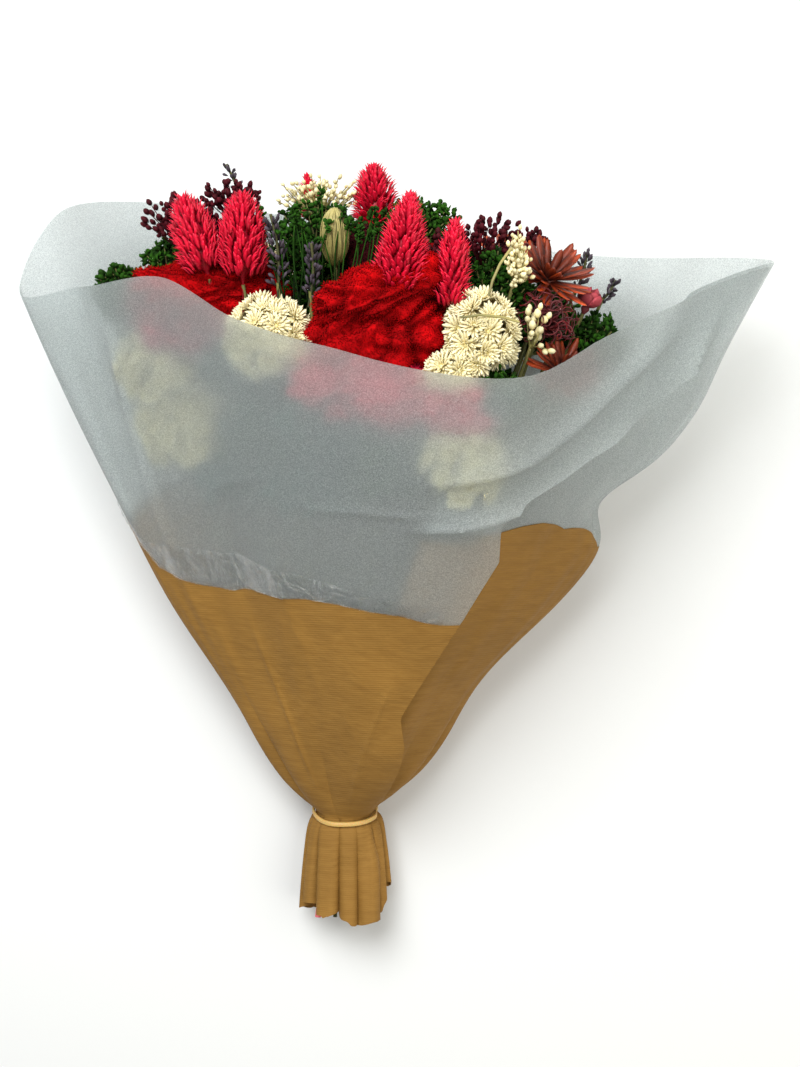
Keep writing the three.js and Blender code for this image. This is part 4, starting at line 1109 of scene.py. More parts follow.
# Every head that has a solid of its own: its kind, its middle and its half sizes or radius. A spike or
# lavender has its foot and tip. What follows is what its maker takes next.
HEADS = {
    "red_comb_left": ("comb", (-74, 303, 116), (50, 24, 23), 0.06),
    "red_comb_centre": ("comb", (21, 280, 155), (42, 31, 25), 0.25),
    "burgundy_comb": ("comb", (20, 324, 114), (26, 22, 22), 0.0),
    "red_comb_back": ("comb", (58, 328, 44), (32, 25, 26), 0.0),
    "red_spike_left": ("spike", (-71, 310, 139), (-88, 363, 146), 13.5, 0.1, 38, 0.25),
    "red_spike_left_inner": ("spike", (-53, 306, 143), (-52, 363, 160), 13.5, 0.1, 38, 0.25),
    "red_spike_right": ("spike", (33, 303, 172), (40, 356, 188), 15.5, 0.8, 44, 0.1),
    "red_spike_right_small": ("spike", (61, 296, 168), (64, 342, 180), 10.5, 0.6, 38, 0.05),
    "red_spike_top": ("spike", (20, 350, 94), (19, 387, 99), 14.5, 0.4, 74, 0.0),
    "red_spike_top_small": ("spike", (-19, 360, 76), (-21, 385, 80), 8, 1.0, 50, 0.0),
    "white_everlasting_left": ("everlasting", (-37, 283, 156), (22, 17, 17)),
    "white_everlasting_right": ("everlasting", (78, 278, 168), (19, 25, 19)),
    "white_everlasting_low_left": ("everlasting", (-95, 240, 92), (24, 32, 20)),
    "white_everlasting_low_right": ("everlasting", (72, 206, 124), (24, 24, 17)),
    "white_everlasting_back": ("everlasting", (-58, 326, 46), (28, 24, 24)),
    "green_centre": ("foliage", (-14, 334, 110), (31, 28, 22)),
    "green_left": ("foliage", (-126, 312, 100), (17, 17, 15)),
    "green_left_inner": ("foliage", (-98, 330, 96), (17, 14, 14)),
    "green_top": ("foliage", (44, 350, 106), (24, 15, 14)),
    "green_right": ("foliage", (88, 302, 132), (19, 30, 19)),
    "green_far_right": ("foliage", (145, 282, 104), (18, 18, 17)),
    "green_front": ("foliage", (-33, 232, 126), (36, 36, 21)),
    "green_front_right": ("foliage", (21, 211, 128), (24, 30, 21)),
    "green_back": ("foliage", (2, 334, 36), (30, 26, 27)),
    "green_back_left": ("foliage", (-98, 304, 58), (22, 25, 25)),
    "green_back_right": ("foliage", (116, 300, 48), (28, 26, 26)),
    "maroon_spray_left": ("spray", (-92, 350, 114), (23, 18, 17), 40, 3.4),
    "maroon_spray_top": ("spray", (-62, 363, 112), (18, 13, 14), 36, 3.2),
    "maroon_spray_right": ("spray", (84, 338, 120), (22, 15, 15), 40, 3.4),
    "maroon_spray_far_right": ("spray", (112, 340, 98), (10, 10, 9), 14, 3.2),
    "maroon_spray_back": ("spray", (-86, 346, 72), (22, 14, 16), 30, 3.4),
    "cream_spray_top": ("spray", (-12, 368, 96), (29, 13, 12), 56, 2.4),
    "cream_spray_right": ("spray", (99, 318, 150), (7, 21, 9), 62, 2.4),
    "cream_spray_low": ("spray", (108, 281, 154), (9, 17, 8), 9, 3.8),
    "lavender_left": ("lavender", (-33, 306, 150), (-37, 348, 164), 8),
    "lavender_centre": ("lavender", (-15, 300, 160), (-14, 330, 172), 7),
    "lavender_top": ("lavender", (-56, 355, 92), (-68, 388, 100), 5),
    "lavender_right": ("lavender", (136, 312, 98), (142, 336, 104), 6),
    "lavender_far_right": ("lavender", (150, 306, 96), (160, 320, 99), 5),
    "rust_star": ("star", (118, 316, 120), 29),
    "rust_star_low": ("star", (125, 262, 134), 22),
    "rust_star_back": ("star", (98, 334, 76), 22),
    "maroon_curls": ("curls", (113, 288, 134), 22),
    "rose_bud": ("rose", (140, 301, 116), 13),
    "straw_head": ("straw", (-2, 336, 146), (11, 19, 10)),
}
TIP_KINDS = ("spike", "lavender")
# How deep a stem goes into a head, as a share of the head's least half size.
SEAT_DEPTH = {
    "comb": 0.25,
    "everlasting": 0.3,
    "foliage": 0.3,
    "star": 0.12,
    "rose": 0.12,
    "curls": 0.3,
    "straw": 0.7,
    "spray": 1.6,
}
# The stems' half widths where they are tied.
BUNDLE_X, BUNDLE_Z = 14.1, 11.1
STEMS_IN_TIE, STEM_APART, MOST_TRIES = 95, 1.7, 4000


def neck_slot(at):
    """Where a head's stem goes through the tie."""
    reach = np.array(at, float) - (0, 0, TIE_HEIGHT)
    x = reach[0] / reach[1] * 24
    z = reach[2] / reach[1] * 26 - 6
    pull = 1 / max(1, math.hypot(x / (BUNDLE_X - 2), z / (BUNDLE_Z - 2)))
    return np.array((x * pull, 0, TIE_HEIGHT + z * pull))


def growth(kind, at, *rest):
    """The way in which a head grows."""
    if kind in TIP_KINDS:
        return unit(np.array(rest[0], float) - at)
    return unit(np.array(at, float) - neck_slot(at))


def stem_lines(rng):
    """Every head's stem, from its seat through the tie to its cut end, and the short ones that fill the
    tie."""
    lines = []
    foot = -60
    slots = []
    for kind, at, *rest in HEADS.values():
        slot = neck_slot(at)
        slots.append(slot)
        axis = growth(kind, at, *rest)
        sunk = -4 if kind in TIP_KINDS else np.min(rest[0]) * SEAT_DEPTH[kind]
        seat_at = np.array(at) - axis * sunk
        bow = unit(rng.normal(size=3)) * (0.4 + 0.5 * rng.random())
        upper = bowed(slot, seat_at, bow, np.linspace(0, 1, 9))
        end = np.array((slot[0] * 1.25, foot + 6 * rng.normal() * 0.4, mix(TIE_HEIGHT, slot[2], 1.25)))
        lower = [mix(end, slot, t) for t in (0, 0.5)]
        radius = np.concatenate(([1.4, 1.4], np.linspace(1.4, 1.0, 9)))
        lines.append((lower + upper, radius, 0.8 + 0.4 * rng.random()))
    tries = 0
    while len(slots) < STEMS_IN_TIE and tries < MOST_TRIES:
        tries += 1
        turn, out = 2 * math.pi * rng.random(), math.sqrt(rng.random())
        slot = np.array((12.4 * out * math.cos(turn), 0, TIE_HEIGHT + 9.5 * out * math.sin(turn)))
        if min(np.hypot(*(slot - other)[[0, 2]]) for other in slots) < STEM_APART:
            continue
        slots.append(slot)
        fan = np.array((slot[0] * 2.2, 34 + 30 * rng.random(), TIE_HEIGHT + (slot[2] - TIE_HEIGHT) * 1.9))
        end = np.array((slot[0] * 1.25, foot + 5 * rng.normal() * 0.6, mix(TIE_HEIGHT, slot[2], 1.25)))
        line = [end, mix(end, slot, 0.5), slot, mix(slot, fan, 0.5), fan]
        lines.append((line, 1.25, 0.75 + 0.4 * rng.random()))
    return lines


def dyed_stem():
    """The red stem, whose end shows under the skirt."""
    top, neck, end = np.array((-37, 150, 62.0)), np.array((-9.5, 0, 24.0)), np.array((-17, -66.5, 27.0))
    line = [mix(top, neck, t) for t in np.linspace(0, 0.94, 12)]
    line += [mix(neck, end, t) for t in np.linspace(0.06, 1, 9)]
    return draw_rods("dyed_stem_rod", [(line, np.linspace(1.5, 1.85, 21), 1.0)], DYED_STEM, sides=12)


def raffia_turns():
    """Raffia wound round the stems, inside the wrap."""
    turns, count = 5, 220
    a = np.linspace(0, 2 * math.pi * turns, count)
    rise = 12.6 * np.sin(a)
    shift = np.linspace(-1.9, 1.9, count) + 0.12 * np.sin(3 * a)
    line = np.stack((15.6 * np.cos(a), shift - TIE["lean"] * rise, TIE_HEIGHT + rise), axis=1)
    return draw_rods("raffia_tie", [(line, 0.5, 1.0)], RAFFIA, sides=8)


bound_stems = draw_rods("bound_stems", stem_lines(np.random.default_rng(5)), DRY_STEM, sides=7)
hand_over(bound_stems, "dry_stem", "stem_bundle")
hand_over(dyed_stem(), "dyed_stem", "red_stem")
hand_over(raffia_turns(), "twine", "inner_tie")

# ---------- the shapes that are set many times ----------
# (along, half width, half thickness, lift), one unit long.
BRACT = spindle_shape(
    "bract",
    [(0, 0, 0, 0), (0.25, 0.4, 0.5, 0.0), (0.55, 0.5, 0.45, 0.2), (0.76, 0.3, 0.35, -0.1), (1, 0, 0, -1.4)],
    cup=0.2,
)
TUFT = spindle_shape("tuft", [(0, 0, 0, 0), (0.35, 0.5, 0.5, 0), (1, 0, 0, 0.4)], sides=3)
RAY = spindle_shape(
    "ray",
    [(0, 0, 0, 0), (0.35, 0.38, 0.4, 0), (0.7, 0.5, 0.4, -0.3), (0.88, 0.3, 0.3, -0.1), (1, 0, 0, 0.4)],
    cup=0.25,
)
LEAFLET = spindle_shape(
    "leaflet",
    [(0, 0, 0, 0), (0.35, 0.34, 0.4, 0), (0.7, 0.52, 0.4, -0.1), (0.92, 0.32, 0.25, 0.2), (1, 0, 0, 0.3)],
    cup=0.4,
)
BUD = spindle_shape(
    "bud", [(0, 0, 0, 0), (0.2, 0.34, 0.34, 0), (0.5, 0.5, 0.5, 0), (0.8, 0.34, 0.34, 0), (1, 0, 0, 0)],
    sides=6,
)
CALYX = spindle_shape("calyx", [(0, 0, 0, 0), (0.4, 0.4, 0.4, 0), (0.75, 0.5, 0.5, 0), (1, 0, 0, 0)], sides=5)
PETAL = spindle_shape(
    "petal",
    [
        (0, 0, 0, 0),
        (0.15, 0.3, 0.5, 0),
        (0.45, 0.5, 0.45, -0.9),
        (0.75, 0.48, 0.4, -1.3),
        (0.93, 0.26, 0.3, -0.9),
        (1, 0, 0, -0.3),
    ], cup=0.5,
)
CUP_PETAL = spindle_shape(
    "cup_petal",
    [(0, 0, 0, 0), (0.25, 0.4, 0.5, -2.0), (0.55, 0.56, 0.5, -2.8), (0.85, 0.44, 0.4, -1.2), (1, 0, 0, 0.6)],
    sides=6, cup=1.2,
)


# ---------- the flower heads ----------
# Layers of bracts from the outermost in: how many, their lean from the axis in degrees and their share of the
# head's radius. Last is their width in an everlasting or a rose, and their shade in a star.
EVERLASTING_LAYERS = ((17, 84, 1.0, 2.0), (16, 66, 0.93, 1.9), (13, 46, 0.74, 1.7), (9, 24, 0.48, 1.4))
STAR_LAYERS = ((14, 80, 1.0, 1.2), (13, 64, 0.96, 1.0), (12, 46, 0.84, 0.6), (10, 26, 0.62, 0.36))
ROSE_LAYERS = ((6, 34, 0.86, 7.5), (5, 22, 0.92, 6.6), (4, 10, 0.9, 5.0))


def spike(name, at, tip, radius, taper, spread, first, rng, seed):
    """Waxy pointed bracts in a tight spiral, leaning out below and closing over the tip. taper is 1 for a
    head that narrows all the way up; spread is the lowest bracts' lean in degrees; first is where along it
    they begin."""
    at, tip = np.array(at, float), np.array(tip, float)
    axis = unit(tip - at)
    length = np.linalg.norm(tip - at)
    side, up = side_ways(axis)
    heights = (0, 0.12, 0.4, 0.7, 0.88, 1)
    blunt, pointed = (0.8, 0.95, 1.0, 0.92, 0.62, 0.2), (0.9, 1.0, 0.86, 0.54, 0.28, 0.08)

    def girth(part):
        return radius * np.interp(part, heights, mix(np.array(blunt), np.array(pointed), taper))

    count = int(length * (1 - first) * radius * 0.62)
    long = 10.5 if radius > 9 else 8.0
    seats = []
    for i in range(count):
        part = mix(first, 1.0, (i + 0.5) / count)
        turn = GOLDEN_ANGLE * i + 0.16 * rng.normal()
        out = way_out(side, up, turn)
        lean = math.radians(mix(spread, 9, part**0.9) + 8 * rng.normal())
        stand = max(0.0, girth(part) - long * 0.88 * math.sin(lean))
        root = at + axis * (length * mix(-0.06, 0.83, part) - 1.5) + out * stand
        way, face = leaning(axis, out, lean)
        size = (2.9, 1.0, long * mix(1.0, 0.85, part))
        seats.append(seat(root, way, face, size, 0.62 + 0.55 * rng.random()))
    hand_over(set_shapes(name + "_bracts", BRACT, seats, RED_BRACT, seed, vary=0.16), "red_bract", name)
    # The core behind the bracts has a lower shade than most of them: painted shade in the gaps between
    # bracts.
    parts = np.linspace(0, 1, 14)
    line = [at + axis * length * (-0.06 + 0.92 * p) for p in parts]
    girths = np.maximum(0.6, girth(parts) * 0.55 * smooth(parts, first - 0.08, first + 0.12))
    hand_over(draw_rods(name + "_core", [(line, girths, 0.7)], RED_BRACT, sides=12), "red_bract", name)


def folds(places, wave, rng):
    """Meandering ridges with sharp creases between them, 0 in a crease and up to about 1 on a ridge."""
    total = 0
    for _ in range(6):
        way = unit(rng.normal(size=3))
        pace = 0.7 + 0.6 * rng.random()
        total = total + np.sin(places @ way * (2 * math.pi / wave) * pace + 6.28 * rng.random())
    return np.minimum(1, (np.abs(total) / 2.2) ** 0.65)


def comb(name, at, size, tilt, rng, seed, replaced=True):
    """A folded mass with meandering ridges and creases, covered in short fuzz; painted shade darkens the
    creases. tilt moves its right end on towards the tips. One under the sheet is pinker, coarser and less
    densely covered."""
    dark, pressed = name.startswith("burgundy"), "under" in name
    finish = BURGUNDY_PLUSH if dark else PINK_PLUSH if pressed else RED_PLUSH
    slot = "burgundy_velvet" if dark else "red_velvet"
    dense, sparse = 900000.0, 450000.0
    p, faces = ball(5 if pressed else 6)
    x, y, z = p.T
    size = np.array(size, float)
    lump = np.sin(8.2 * x + 2.8 * np.sin(4.1 * y + at[0])) * np.cos(6.4 * y + 5.3 * z)
    # 2 would be a ball, and more than that fills it out towards a box.
    fullness = 2.6
    corner = (np.abs(p) ** fullness).sum(axis=1) ** (1 / fullness)
    q = p * ((0.86 + 0.12 * lump) / corner)[:, None]
    places = q * size
    big, small = folds(places, 38.0, rng), folds(places, 11.0, rng)
    places = places + unit(places / size**2) * (5.5 * (big - 0.62) + 1.5 * (small - 0.6))[:, None]
    places[:, 1] += tilt * size[0] * q[:, 0]
    # Painted shade: colour and shade fall with the ridge height, so the creases are darker, and the fuzz
    # takes this shade from the body.
    height = np.clip(0.7 * big + 0.3 * small, 0, 1)
    base = new_piece(
        name + "_body",
        places + np.array(at, float),
        faces,
        finish,
        values={"along": 0.3 + 0.45 * height, "shade": 0.45 + 0.5 * height},
    )
    inputs = {
        "Tuft": TUFT,
        "Tufts per square metre": sparse if pressed or name.endswith("back") else dense,
        "Tuft width": 0.0006,
        "Tuft length": 0.002,
        "Lean": 0.45,
        "Seed": seed,
        "Finish": finish,
    }
    tufts = grown(name + "_fuzz", placed(name + "_skin", base.data.copy()), TUFTS, inputs)
    nodes = (name,) if replaced else ()
    hand_over(base, slot, *nodes)
    hand_over(tufts, slot, *nodes)


def heart(name, at, size, finish, shade, rng):
    """The close inside of a head, as a knobbly body that its outer parts hide, darkened by shade and more in
    its hollows as painted shade.
    """
    p, faces = ball(4)
    knobs = folds(p * size, 9.0, rng)
    points = p * np.array(size) * (0.8 + 0.2 * knobs)[:, None] + np.array(at)
    # Painted shade: shade darkens the whole body, and the hollows between its knobs are darker still.
    values = {"along": 0.5 * knobs, "shade": shade * (0.5 + 0.5 * knobs)}
    return new_piece(name, points, faces, finish, values=values)


def rosette(seats, eyes, at, facing, radius, opened, rng):
    """One small everlasting: rings of pointed bracts round an eye. opened is 1 for a flat flower."""
    side, up = side_ways(facing)
    for count, lean, reach, wide in EVERLASTING_LAYERS:
        lean *= opened
        spin = 2 * math.pi * rng.random()
        for k in range(count):
            turn = spin + 2 * math.pi * k / count + 0.09 * rng.normal()
            out = way_out(side, up, turn)
            way, face = leaning(facing, out, math.radians(lean + 5 * rng.normal()))
            root = at + out * 0.6
            seats.append(seat(root, way, face, (wide, 0.6, radius * reach), 0.9 + 0.2 * rng.random()))
    size = (radius * 0.36, radius * 0.36, 2.6)
    eyes.append(seat(at - facing * 0.8, facing, side, size, 0.85 + 0.3 * rng.random()))


def everlasting(name, at, size, rng, seed, replaced=True):
    """A cluster of small papery daisies, some half closed."""
    at, size = np.array(at, float), np.array(size, float)
    axis = growth("everlasting", at)
    seats, eyes, lines = [], [], []
    count = int(0.023 * (size[0] * size[1] + size[1] * size[2] + size[0] * size[2])) + 4
    for way in ways_around(count, axis, 0.55, rng):
        facing = unit(unit(way / size) + 0.18 * rng.normal(size=3))
        middle = at + way * size * (0.8 + 0.08 * rng.random())
        opened = 1.0 if rng.random() < 0.75 else 0.6
        rosette(seats, eyes, middle, facing, 7.4 + 1.5 * rng.random(), opened, rng)
        fork = at - axis * min(size) * 0.3
        lines.append(([fork, mix(fork, middle, 0.6) + rng.normal(size=3), middle - facing], 0.6, 0.8))
    nodes = (name,) if replaced else ()
    hand_over(set_shapes(name + "_bracts", RAY, seats, WHITE_BRACT, seed), "white_bract", *nodes)
    hand_over(set_shapes(name + "_eyes", BUD, eyes, EYE, seed + 1), "white_bract", *nodes)
    hand_over(heart(name + "_heart", at, size * 0.74, WHITE_BRACT, 0.55, rng), "white_bract", *nodes)
    hand_over(draw_rods(name + "_stalks", lines, DRY_STEM, sides=5), "dry_stem")


def foliage(name, at, size, rng, seed, replaced=True):
    """A bushy tuft: fine twigs that fork from one stem, each ending in a knot of small cupped leaves. One
    under the sheet has fewer, and bluer ones unless it is at the right."""
    at, size = np.array(at, float), np.array(size, float)
    axis = growth("foliage", at)
    fork = at - axis * min(size) * 0.8
    tips = int(78 * (size.prod() / 21**3) ** 0.45)
    leaves = 8 if "under" in name else 11
    seats, lines = [], []
    for way in ways_around(tips, axis, 0.5, rng):
        end = at + way * size * (0.66 + 0.34 * rng.random())
        bow = rng.normal(size=3) * 1.2
        line = bowed(fork, end, bow, (0, 0.3, 0.6, 1))
        lines.append((line, np.linspace(0.75, 0.4, 4), 0.8 + 0.4 * rng.random()))
        twig = unit(end - fork)
        shade = 0.55 + 0.8 * rng.random() ** 1.5
        for k in range(leaves):
            fan = unit(twig * 0.7 + unit(rng.normal(size=3)))
            root = end - twig * (6.5 * (k / leaves) ** 1.5)
            size_one = (3.0, 1.1, 3.9 + 1.3 * rng.random())
            face = unit(rng.normal(size=3))
            seats.append(seat(root, fan, face, size_one, shade * (0.85 + 0.3 * rng.random())))
    nodes = (name,) if replaced else ()
    finish = COOL_LEAF if "under" in name and not name.endswith("right") else GREEN_LEAF
    hand_over(set_shapes(name + "_leaves", LEAFLET, seats, finish, seed, vary=0.2), "green_leaf", *nodes)
    hand_over(heart(name + "_heart", at, size * 0.6, finish, 0.5, rng), "green_leaf", *nodes)
    hand_over(draw_rods(name + "_twigs", lines, DRY_STEM, sides=5), "dry_stem")


def spray(name, at, size, count, wide, rng, seed, replaced=True):
    """Grain heads on thin twigs that fan out of one stalk, in small knots. count is about how many twigs
    there are, and wide a grain's width."""
    cream = name.startswith("cream")
    finish, slot = (CREAM_BUD, "cream_bud") if cream else (MAROON_BUD, "maroon_bud")
    at, size = np.array(at, float), np.array(size, float)
    axis = growth("spray", at)
    fork = at - axis * min(size) * 1.1
    seats, lines = [], [([at - axis * min(size) * 2.1, fork, fork + axis * 3], (1.2, 1.0, 0.7), 0.9)]
    for way in ways_around(count, axis, 0.3, rng):
        end = at + way * size * (0.45 + 0.55 * rng.random())
        twig = unit(end - fork)
        bow = rng.normal(size=3) * 1.0
        line = bowed(fork, end, bow, (0, 0.35, 0.7, 1))
        lines.append((line, np.linspace(0.5, 0.28, 4), 0.7 + 0.5 * rng.random()))
        shade = 0.75 + 0.45 * rng.random()
        for k in range(2 + int(rng.random() < 0.5)):
            lean = unit(twig + 0.6 * min(k, 1) * unit(rng.normal(size=3)))
            root = end - twig * (1.0 + 2.6 * k) + 0.8 * rng.normal(size=3)
            size_one = (wide, wide, wide * (1.15 + 0.35 * rng.random()))
            seats.append(seat(root, lean, side_ways(lean)[0], size_one, shade))
    nodes = (name,) if replaced else ()
    hand_over(set_shapes(name + "_grains", BUD, seats, finish, seed, vary=0.2), slot, *nodes)
    hand_over(draw_rods(name + "_twigs", lines, STRAW if cream else MAROON_BUD, sides=5), slot, *nodes)


def lavender(name, at, tip, radius, rng, seed):
    """Whorls of small felted calyces round a slim stalk, ragged where some have dropped."""
    at, tip = np.array(at, float), np.array(tip, float)
    axis = unit(tip - at)
    length = np.linalg.norm(tip - at)
    side, up = side_ways(axis)
    whorls = max(4, round(length / 5.0))
    seats = []
    bow = side * 0.05 * length
    for w in range(whorls):
        part = (w + 0.3) / whorls
        middle = at + axis * length * (0.02 + 0.86 * part) + bow * math.sin(math.pi * part)
        for k in range(8):
            if rng.random() < 0.16:
                continue
            turn = 2 * math.pi * (k + 0.5 * (w % 2)) / 8 + 0.4 * rng.normal()
            out = way_out(side, up, turn)
            way, _ = leaning(axis, out, math.radians(38 - 14 * part + 16 * rng.normal()))
            size = (1.9, 1.9, min(6.2, radius * 0.85) * (0.75 + 0.45 * rng.random()))
            root = middle + out * radius * 0.22 + axis * 1.2 * rng.normal()
            seats.append(seat(root, way, out, size, 0.5 + 0.9 * rng.random()))
    hand_over(set_shapes(name + "_calyces", CALYX, seats, LAVENDER, seed, vary=0.15), "lavender_calyx", name)
    line = [at + axis * length * t + bow * math.sin(math.pi * t) for t in np.linspace(-0.15, 0.94, 8)]
    hand_over(draw_rods(name + "_stalk", [(line, 0.8, 0.5)], DRY_STEM, sides=6), "lavender_calyx", name)


def star(name, at, radius, rng, seed):
    """Long papery bracts in layers that open round the growing way: rust outside, dark red in the middle."""
    at = np.array(at, float)
    axis = unit(growth("star", at) + np.array((0, 0, 0.7)))
    side, up = side_ways(axis)
    seats = []
    for count, lean, reach, shade in STAR_LAYERS:
        spin = rng.random() * 6
        for k in range(count):
            turn = spin + 2 * math.pi * k / count + 0.12 * rng.normal()
            out = way_out(side, up, turn)
            way, face = leaning(axis, out, math.radians(lean + 6 * rng.normal()))
            size = (radius * 0.18, 0.7, radius * reach * (0.88 + 0.16 * rng.random()))
            seats.append(seat(at + out * 1.2, way, face, size, shade * (0.8 + 0.4 * rng.random())))
    hand_over(set_shapes(name + "_bracts", PETAL, seats, RUST_PETAL, seed, vary=0.08), "rust_petal", name)
    line = [at - axis * 5, at - axis * 2, at + axis * 1.5, at + axis * 3.5]
    girths = (1.2, radius * 0.2, radius * 0.16, 0.8)
    hand_over(draw_rods(name + "_base", [(line, girths, 0.4)], RUST_PETAL, sides=10), "rust_petal", name)


def rose(name, at, radius, rng, seed):
    """A dried rose bud: cupped petals wrapped over each other."""
    at = np.array(at, float)
    axis = growth("rose", at)
    side, up = side_ways(axis)
    seats = []
    for count, lean, reach, wide in ROSE_LAYERS:
        spin = rng.random() * 6
        for k in range(count):
            turn = spin + 2 * math.pi * k / count
            out = way_out(side, up, turn)
            way, face = leaning(axis, out, math.radians(lean))
            size = (wide, 0.9, radius * reach)
            seats.append(seat(at + out * 0.8, way, face, size, 0.8 + 0.35 * rng.random()))
    hand_over(set_shapes(name + "_petals", CUP_PETAL, seats, ROSE, seed, vary=0.08), "rose_petal", name)
    line = [at - axis * 4, at - axis * 1, at + axis * 2]
    hand_over(draw_rods(name + "_hip", [(line, (1.0, 2.6, 1.6), 0.5)], ROSE, sides=8), "rose_petal", name)


def curls(name, at, radius, rng, seed):
    """Thread-like bracts that arch out and curl back."""
    at = np.array(at, float)
    axis = growth("curls", at)
    lines = []
    for way in ways_around(96, axis, 0.25, rng):
        side, up = side_ways(way)
        turns = 0.6 + 1.3 * rng.random()
        start = 6.28 * rng.random()
        wide = 2.2 + 2.6 * rng.random()
        reach = radius * (0.7 + 0.35 * rng.random())
        line = []
        for t in np.linspace(0, 1, 15):
            spin = start + 6.28 * turns * t
            coil = wide * t * (side * math.cos(spin) + up * math.sin(spin))
            line.append(at + way * reach * math.sin(1.9 * t) + coil + axis * (2 * t - 5 * t**4))
        lines.append((line, np.linspace(0.55, 0.25, 15), 0.4 + 0.9 * rng.random()))
    hand_over(draw_rods(name + "_threads", lines, CURL, sides=5), "maroon_bud", name)
    seats = []
    for way in ways_around(60, axis, 0.4, rng):
        size = (2.6, 1.4, radius * 0.42)
        seats.append(seat(at + way * 2, way, side_ways(way)[0], size, 0.6 + 0.4 * rng.random()))
    hand_over(set_shapes(name + "_middle", BRACT, seats, CURL, seed), "maroon_bud", name)


def straw(name, at, size, rng, seed):
    """An olive-gold seed head: papery ribs from base to crown, with fine loose strands over them."""
    at, size = np.array(at, float), np.array(size, float) * (0.62, 0.85, 0.62)
    axis = growth("straw", at)
    side, up = side_ways(axis)

    def surface(part, turn, stand):
        h = mix(-0.97, 0.97, part)
        out = side * math.cos(turn) * size[0] + up * math.sin(turn) * size[2]
        return at + axis * size[1] * h + out * math.sqrt(max(0.02, 1 - h * h)) * stand

    ribs = []
    rib_count = 16
    girth = 0.35 + 0.55 * np.sin(math.pi * np.linspace(0.05, 0.95, 14))
    for k in range(rib_count):
        line = [surface(t, 2 * math.pi * k / rib_count, 0.97) for t in np.linspace(0, 1, 14)]
        ribs.append((line, girth, 0.85 + 0.3 * rng.random()))
    heights = np.linspace(-0.95, 0.95, 12)
    core = [at + axis * size[1] * h for h in heights]
    girth = np.mean(size[[0, 2]]) * 0.86 * np.sqrt(np.maximum(0.03, 1 - heights**2))
    ribs.append((core, girth, 0.75))
    hand_over(draw_rods(name + "_ribs", ribs, STRAW, sides=10), "straw", name)
    strands = []
    for _ in range(64):
        turn, drift = 6.28 * rng.random(), rng.normal() * 0.5
        stand = 1.03 + 0.1 * rng.random()
        top = 0.75 + 0.28 * rng.random()
        line = [surface(t * top, turn + drift * t, stand + 0.08 * t) for t in np.linspace(0.02, 1, 10)]
        strands.append((line, 0.28, 0.7 + 0.6 * rng.random()))
    hand_over(draw_rods(name + "_strands", strands, STRAW, sides=5), "straw", name)


MAKERS = {
    "spike": spike,
    "comb": comb,
    "everlasting": everlasting,
    "foliage": foliage,
    "spray": spray,
    "lavender": lavender,
    "star": star,
    "rose": rose,
    "curls": curls,
    "straw": straw,
}
for number, (name, (kind, *places)) in enumerate(HEADS.items()):
    MAKERS[kind](name, *places, np.random.default_rng(40 + number), 11 * number + 3)

# Heads that have no solid of their own. They close the bunch between and below the others, and add crests
# to combs.
FILLERS = {
    "green_filler_middle": ("foliage", (-26, 302, 114), (24, 20, 18)),
    "green_filler_right": ("foliage", (72, 318, 100), (26, 22, 20)),
    "green_filler_left": ("foliage", (-112, 300, 84), (24, 18, 16)),
    "green_filler_low": ("foliage", (-10, 268, 108), (34, 26, 20)),
    "green_filler_low_right": ("foliage", (84, 246, 110), (26, 24, 18)),
    "green_filler_deep": ("foliage", (-52, 206, 92), (26, 26, 18)),
    "maroon_filler_left": ("spray", (-68, 340, 116), (30, 18, 16), 60, 3.4),
    "maroon_filler_middle": ("spray", (52, 326, 130), (20, 16, 14), 44, 3.4),
    "red_comb_left_crest": ("comb", (-77, 310, 128), (39, 16, 16), -0.03),
    "red_comb_centre_crest": ("comb", (24, 302, 167), (38, 17, 21), 0.2),
    "white_everlasting_filler_low": ("everlasting", (62, 259, 173), (12, 10, 9)),
}
for number, (name, (kind, *places)) in enumerate(FILLERS.items()):
    MAKERS[kind](name, *places, np.random.default_rng(140 + number), 9 * number + 5, replaced=False)

# Heads that lie against the front panel from inside and show through it as blurred patches. Each has its
# place on the sheet as unrolled angle and share, how deep below the sheet its middle is, and its half
# sizes.
UNDER_SHEET = {
    "red_comb_under_left": ("comb", (-236, 0.9), 25, (27, 17, 12), 0.0),
    "red_comb_under_centre": ("comb", (-272, 0.9), 28, (46, 20, 14), -0.12),
    "red_comb_under_right": ("comb", (-287, 0.9), 27, (20, 14, 13), 0.0),
    "white_everlasting_under_left": ("everlasting", (-228, 0.84), 20, (24, 22, 11)),
    "white_everlasting_under_left_low": ("everlasting", (-233, 0.72), 20, (19, 22, 11)),
    "white_everlasting_under_centre": ("everlasting", (-255, 0.93), 22, (24, 16, 12)),
    "white_everlasting_under_right": ("everlasting", (-289, 0.81), 21, (20, 24, 11)),
    "green_under_left": ("foliage", (-246, 0.85), 25, (22, 18, 13)),
    "green_under_left_low": ("foliage", (-250, 0.76), 26, (28, 24, 13)),
    "green_under_left_end": ("foliage", (-238, 0.64), 21, (22, 22, 11)),
    "green_under_centre": ("foliage", (-266, 0.82), 24, (34, 24, 14)),
    "green_under_centre_low": ("foliage", (-262, 0.7), 23, (32, 26, 13)),
    "green_under_centre_right": ("foliage", (-278, 0.78), 24, (26, 26, 14)),
    "green_under_right": ("foliage", (-294, 0.925), 22, (18, 15, 12)),
}
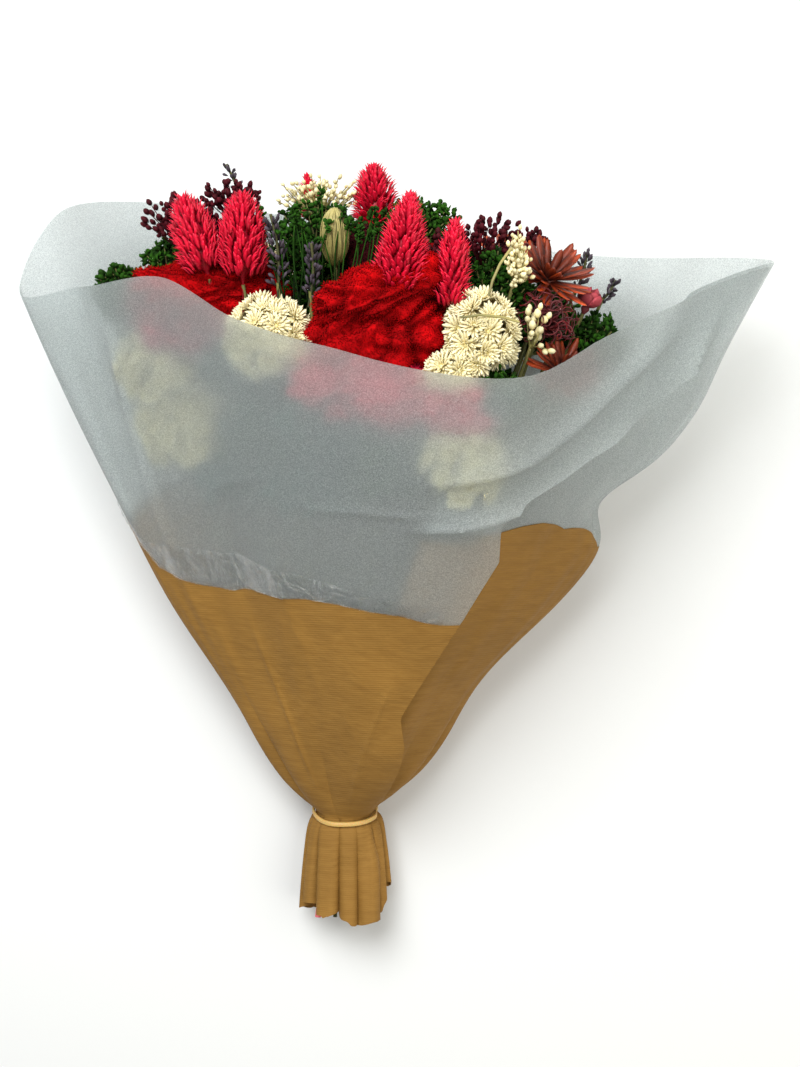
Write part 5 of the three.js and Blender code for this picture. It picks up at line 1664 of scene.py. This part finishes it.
for number, (name, (kind, (unrolled, share), depth, *rest)) in enumerate(UNDER_SHEET.items()):
    at = sheet_point(np.array([float(unrolled)]), np.array([share]), np.array([float(depth)]))[0]
    MAKERS[kind](name, at, *rest, np.random.default_rng(240 + number), 13 * number + 8, replaced=False)


def fine_twigs(rng):
    """Thin green stems with a knot of leaves at each end, which stand in front of the straw head."""
    lines, seats = [], []
    count = 26
    for k in range(count):
        across = k / (count - 1)
        foot = mix(-30, 14, across) + 2 * rng.normal(), 300 + 3 * rng.normal(), 146 + 3 * rng.normal()
        top = mix(-38, 24, across) + 3 * rng.normal(), 344 + 9 * rng.normal(), 152 + 5 * rng.normal()
        foot, top = np.array(foot), np.array(top)
        bow = rng.normal(size=3) * 1.6
        line = bowed(foot, top, bow, np.linspace(0, 1, 7))
        lines.append((line, np.linspace(0.55, 0.35, 7), 0.6 + 0.5 * rng.random()))
        shade = 0.6 + 0.6 * rng.random()
        twig = unit(top - foot)
        for _ in range(14):
            fan = unit(twig * 0.7 + unit(rng.normal(size=3)))
            root = top - twig * 5 * rng.random() ** 1.5
            face = unit(rng.normal(size=3))
            seats.append(seat(root, fan, face, (2.8, 1.0, 3.6), shade * (0.85 + 0.3 * rng.random())))
    hand_over(draw_rods("fine_twig_stems", lines, GREEN_LEAF, sides=5), "green_leaf")
    hand_over(set_shapes("fine_twig_leaves", LEAFLET, seats, GREEN_LEAF, 77, vary=0.2), "green_leaf")


fine_twigs(np.random.default_rng(77))

# Two loose straw stalks that lie over the right-hand everlastings.
loose = [
    ([(81, 298, 186), (83, 306, 186), (87, 315, 184), (93, 324, 178)], 0.75, 1.0),
    ([(66, 286, 190), (76, 287, 192), (88, 286, 191), (97, 284, 187)], 0.7, 1.0),
]
hand_over(draw_rods("loose_straw", loose, STRAW, sides=7), "straw")

# The shapes that were set many times aren't pieces themselves.
for shape in (BRACT, TUFT, RAY, LEAFLET, BUD, CALYX, PETAL, CUP_PETAL):
    bpy.data.objects.remove(shape)
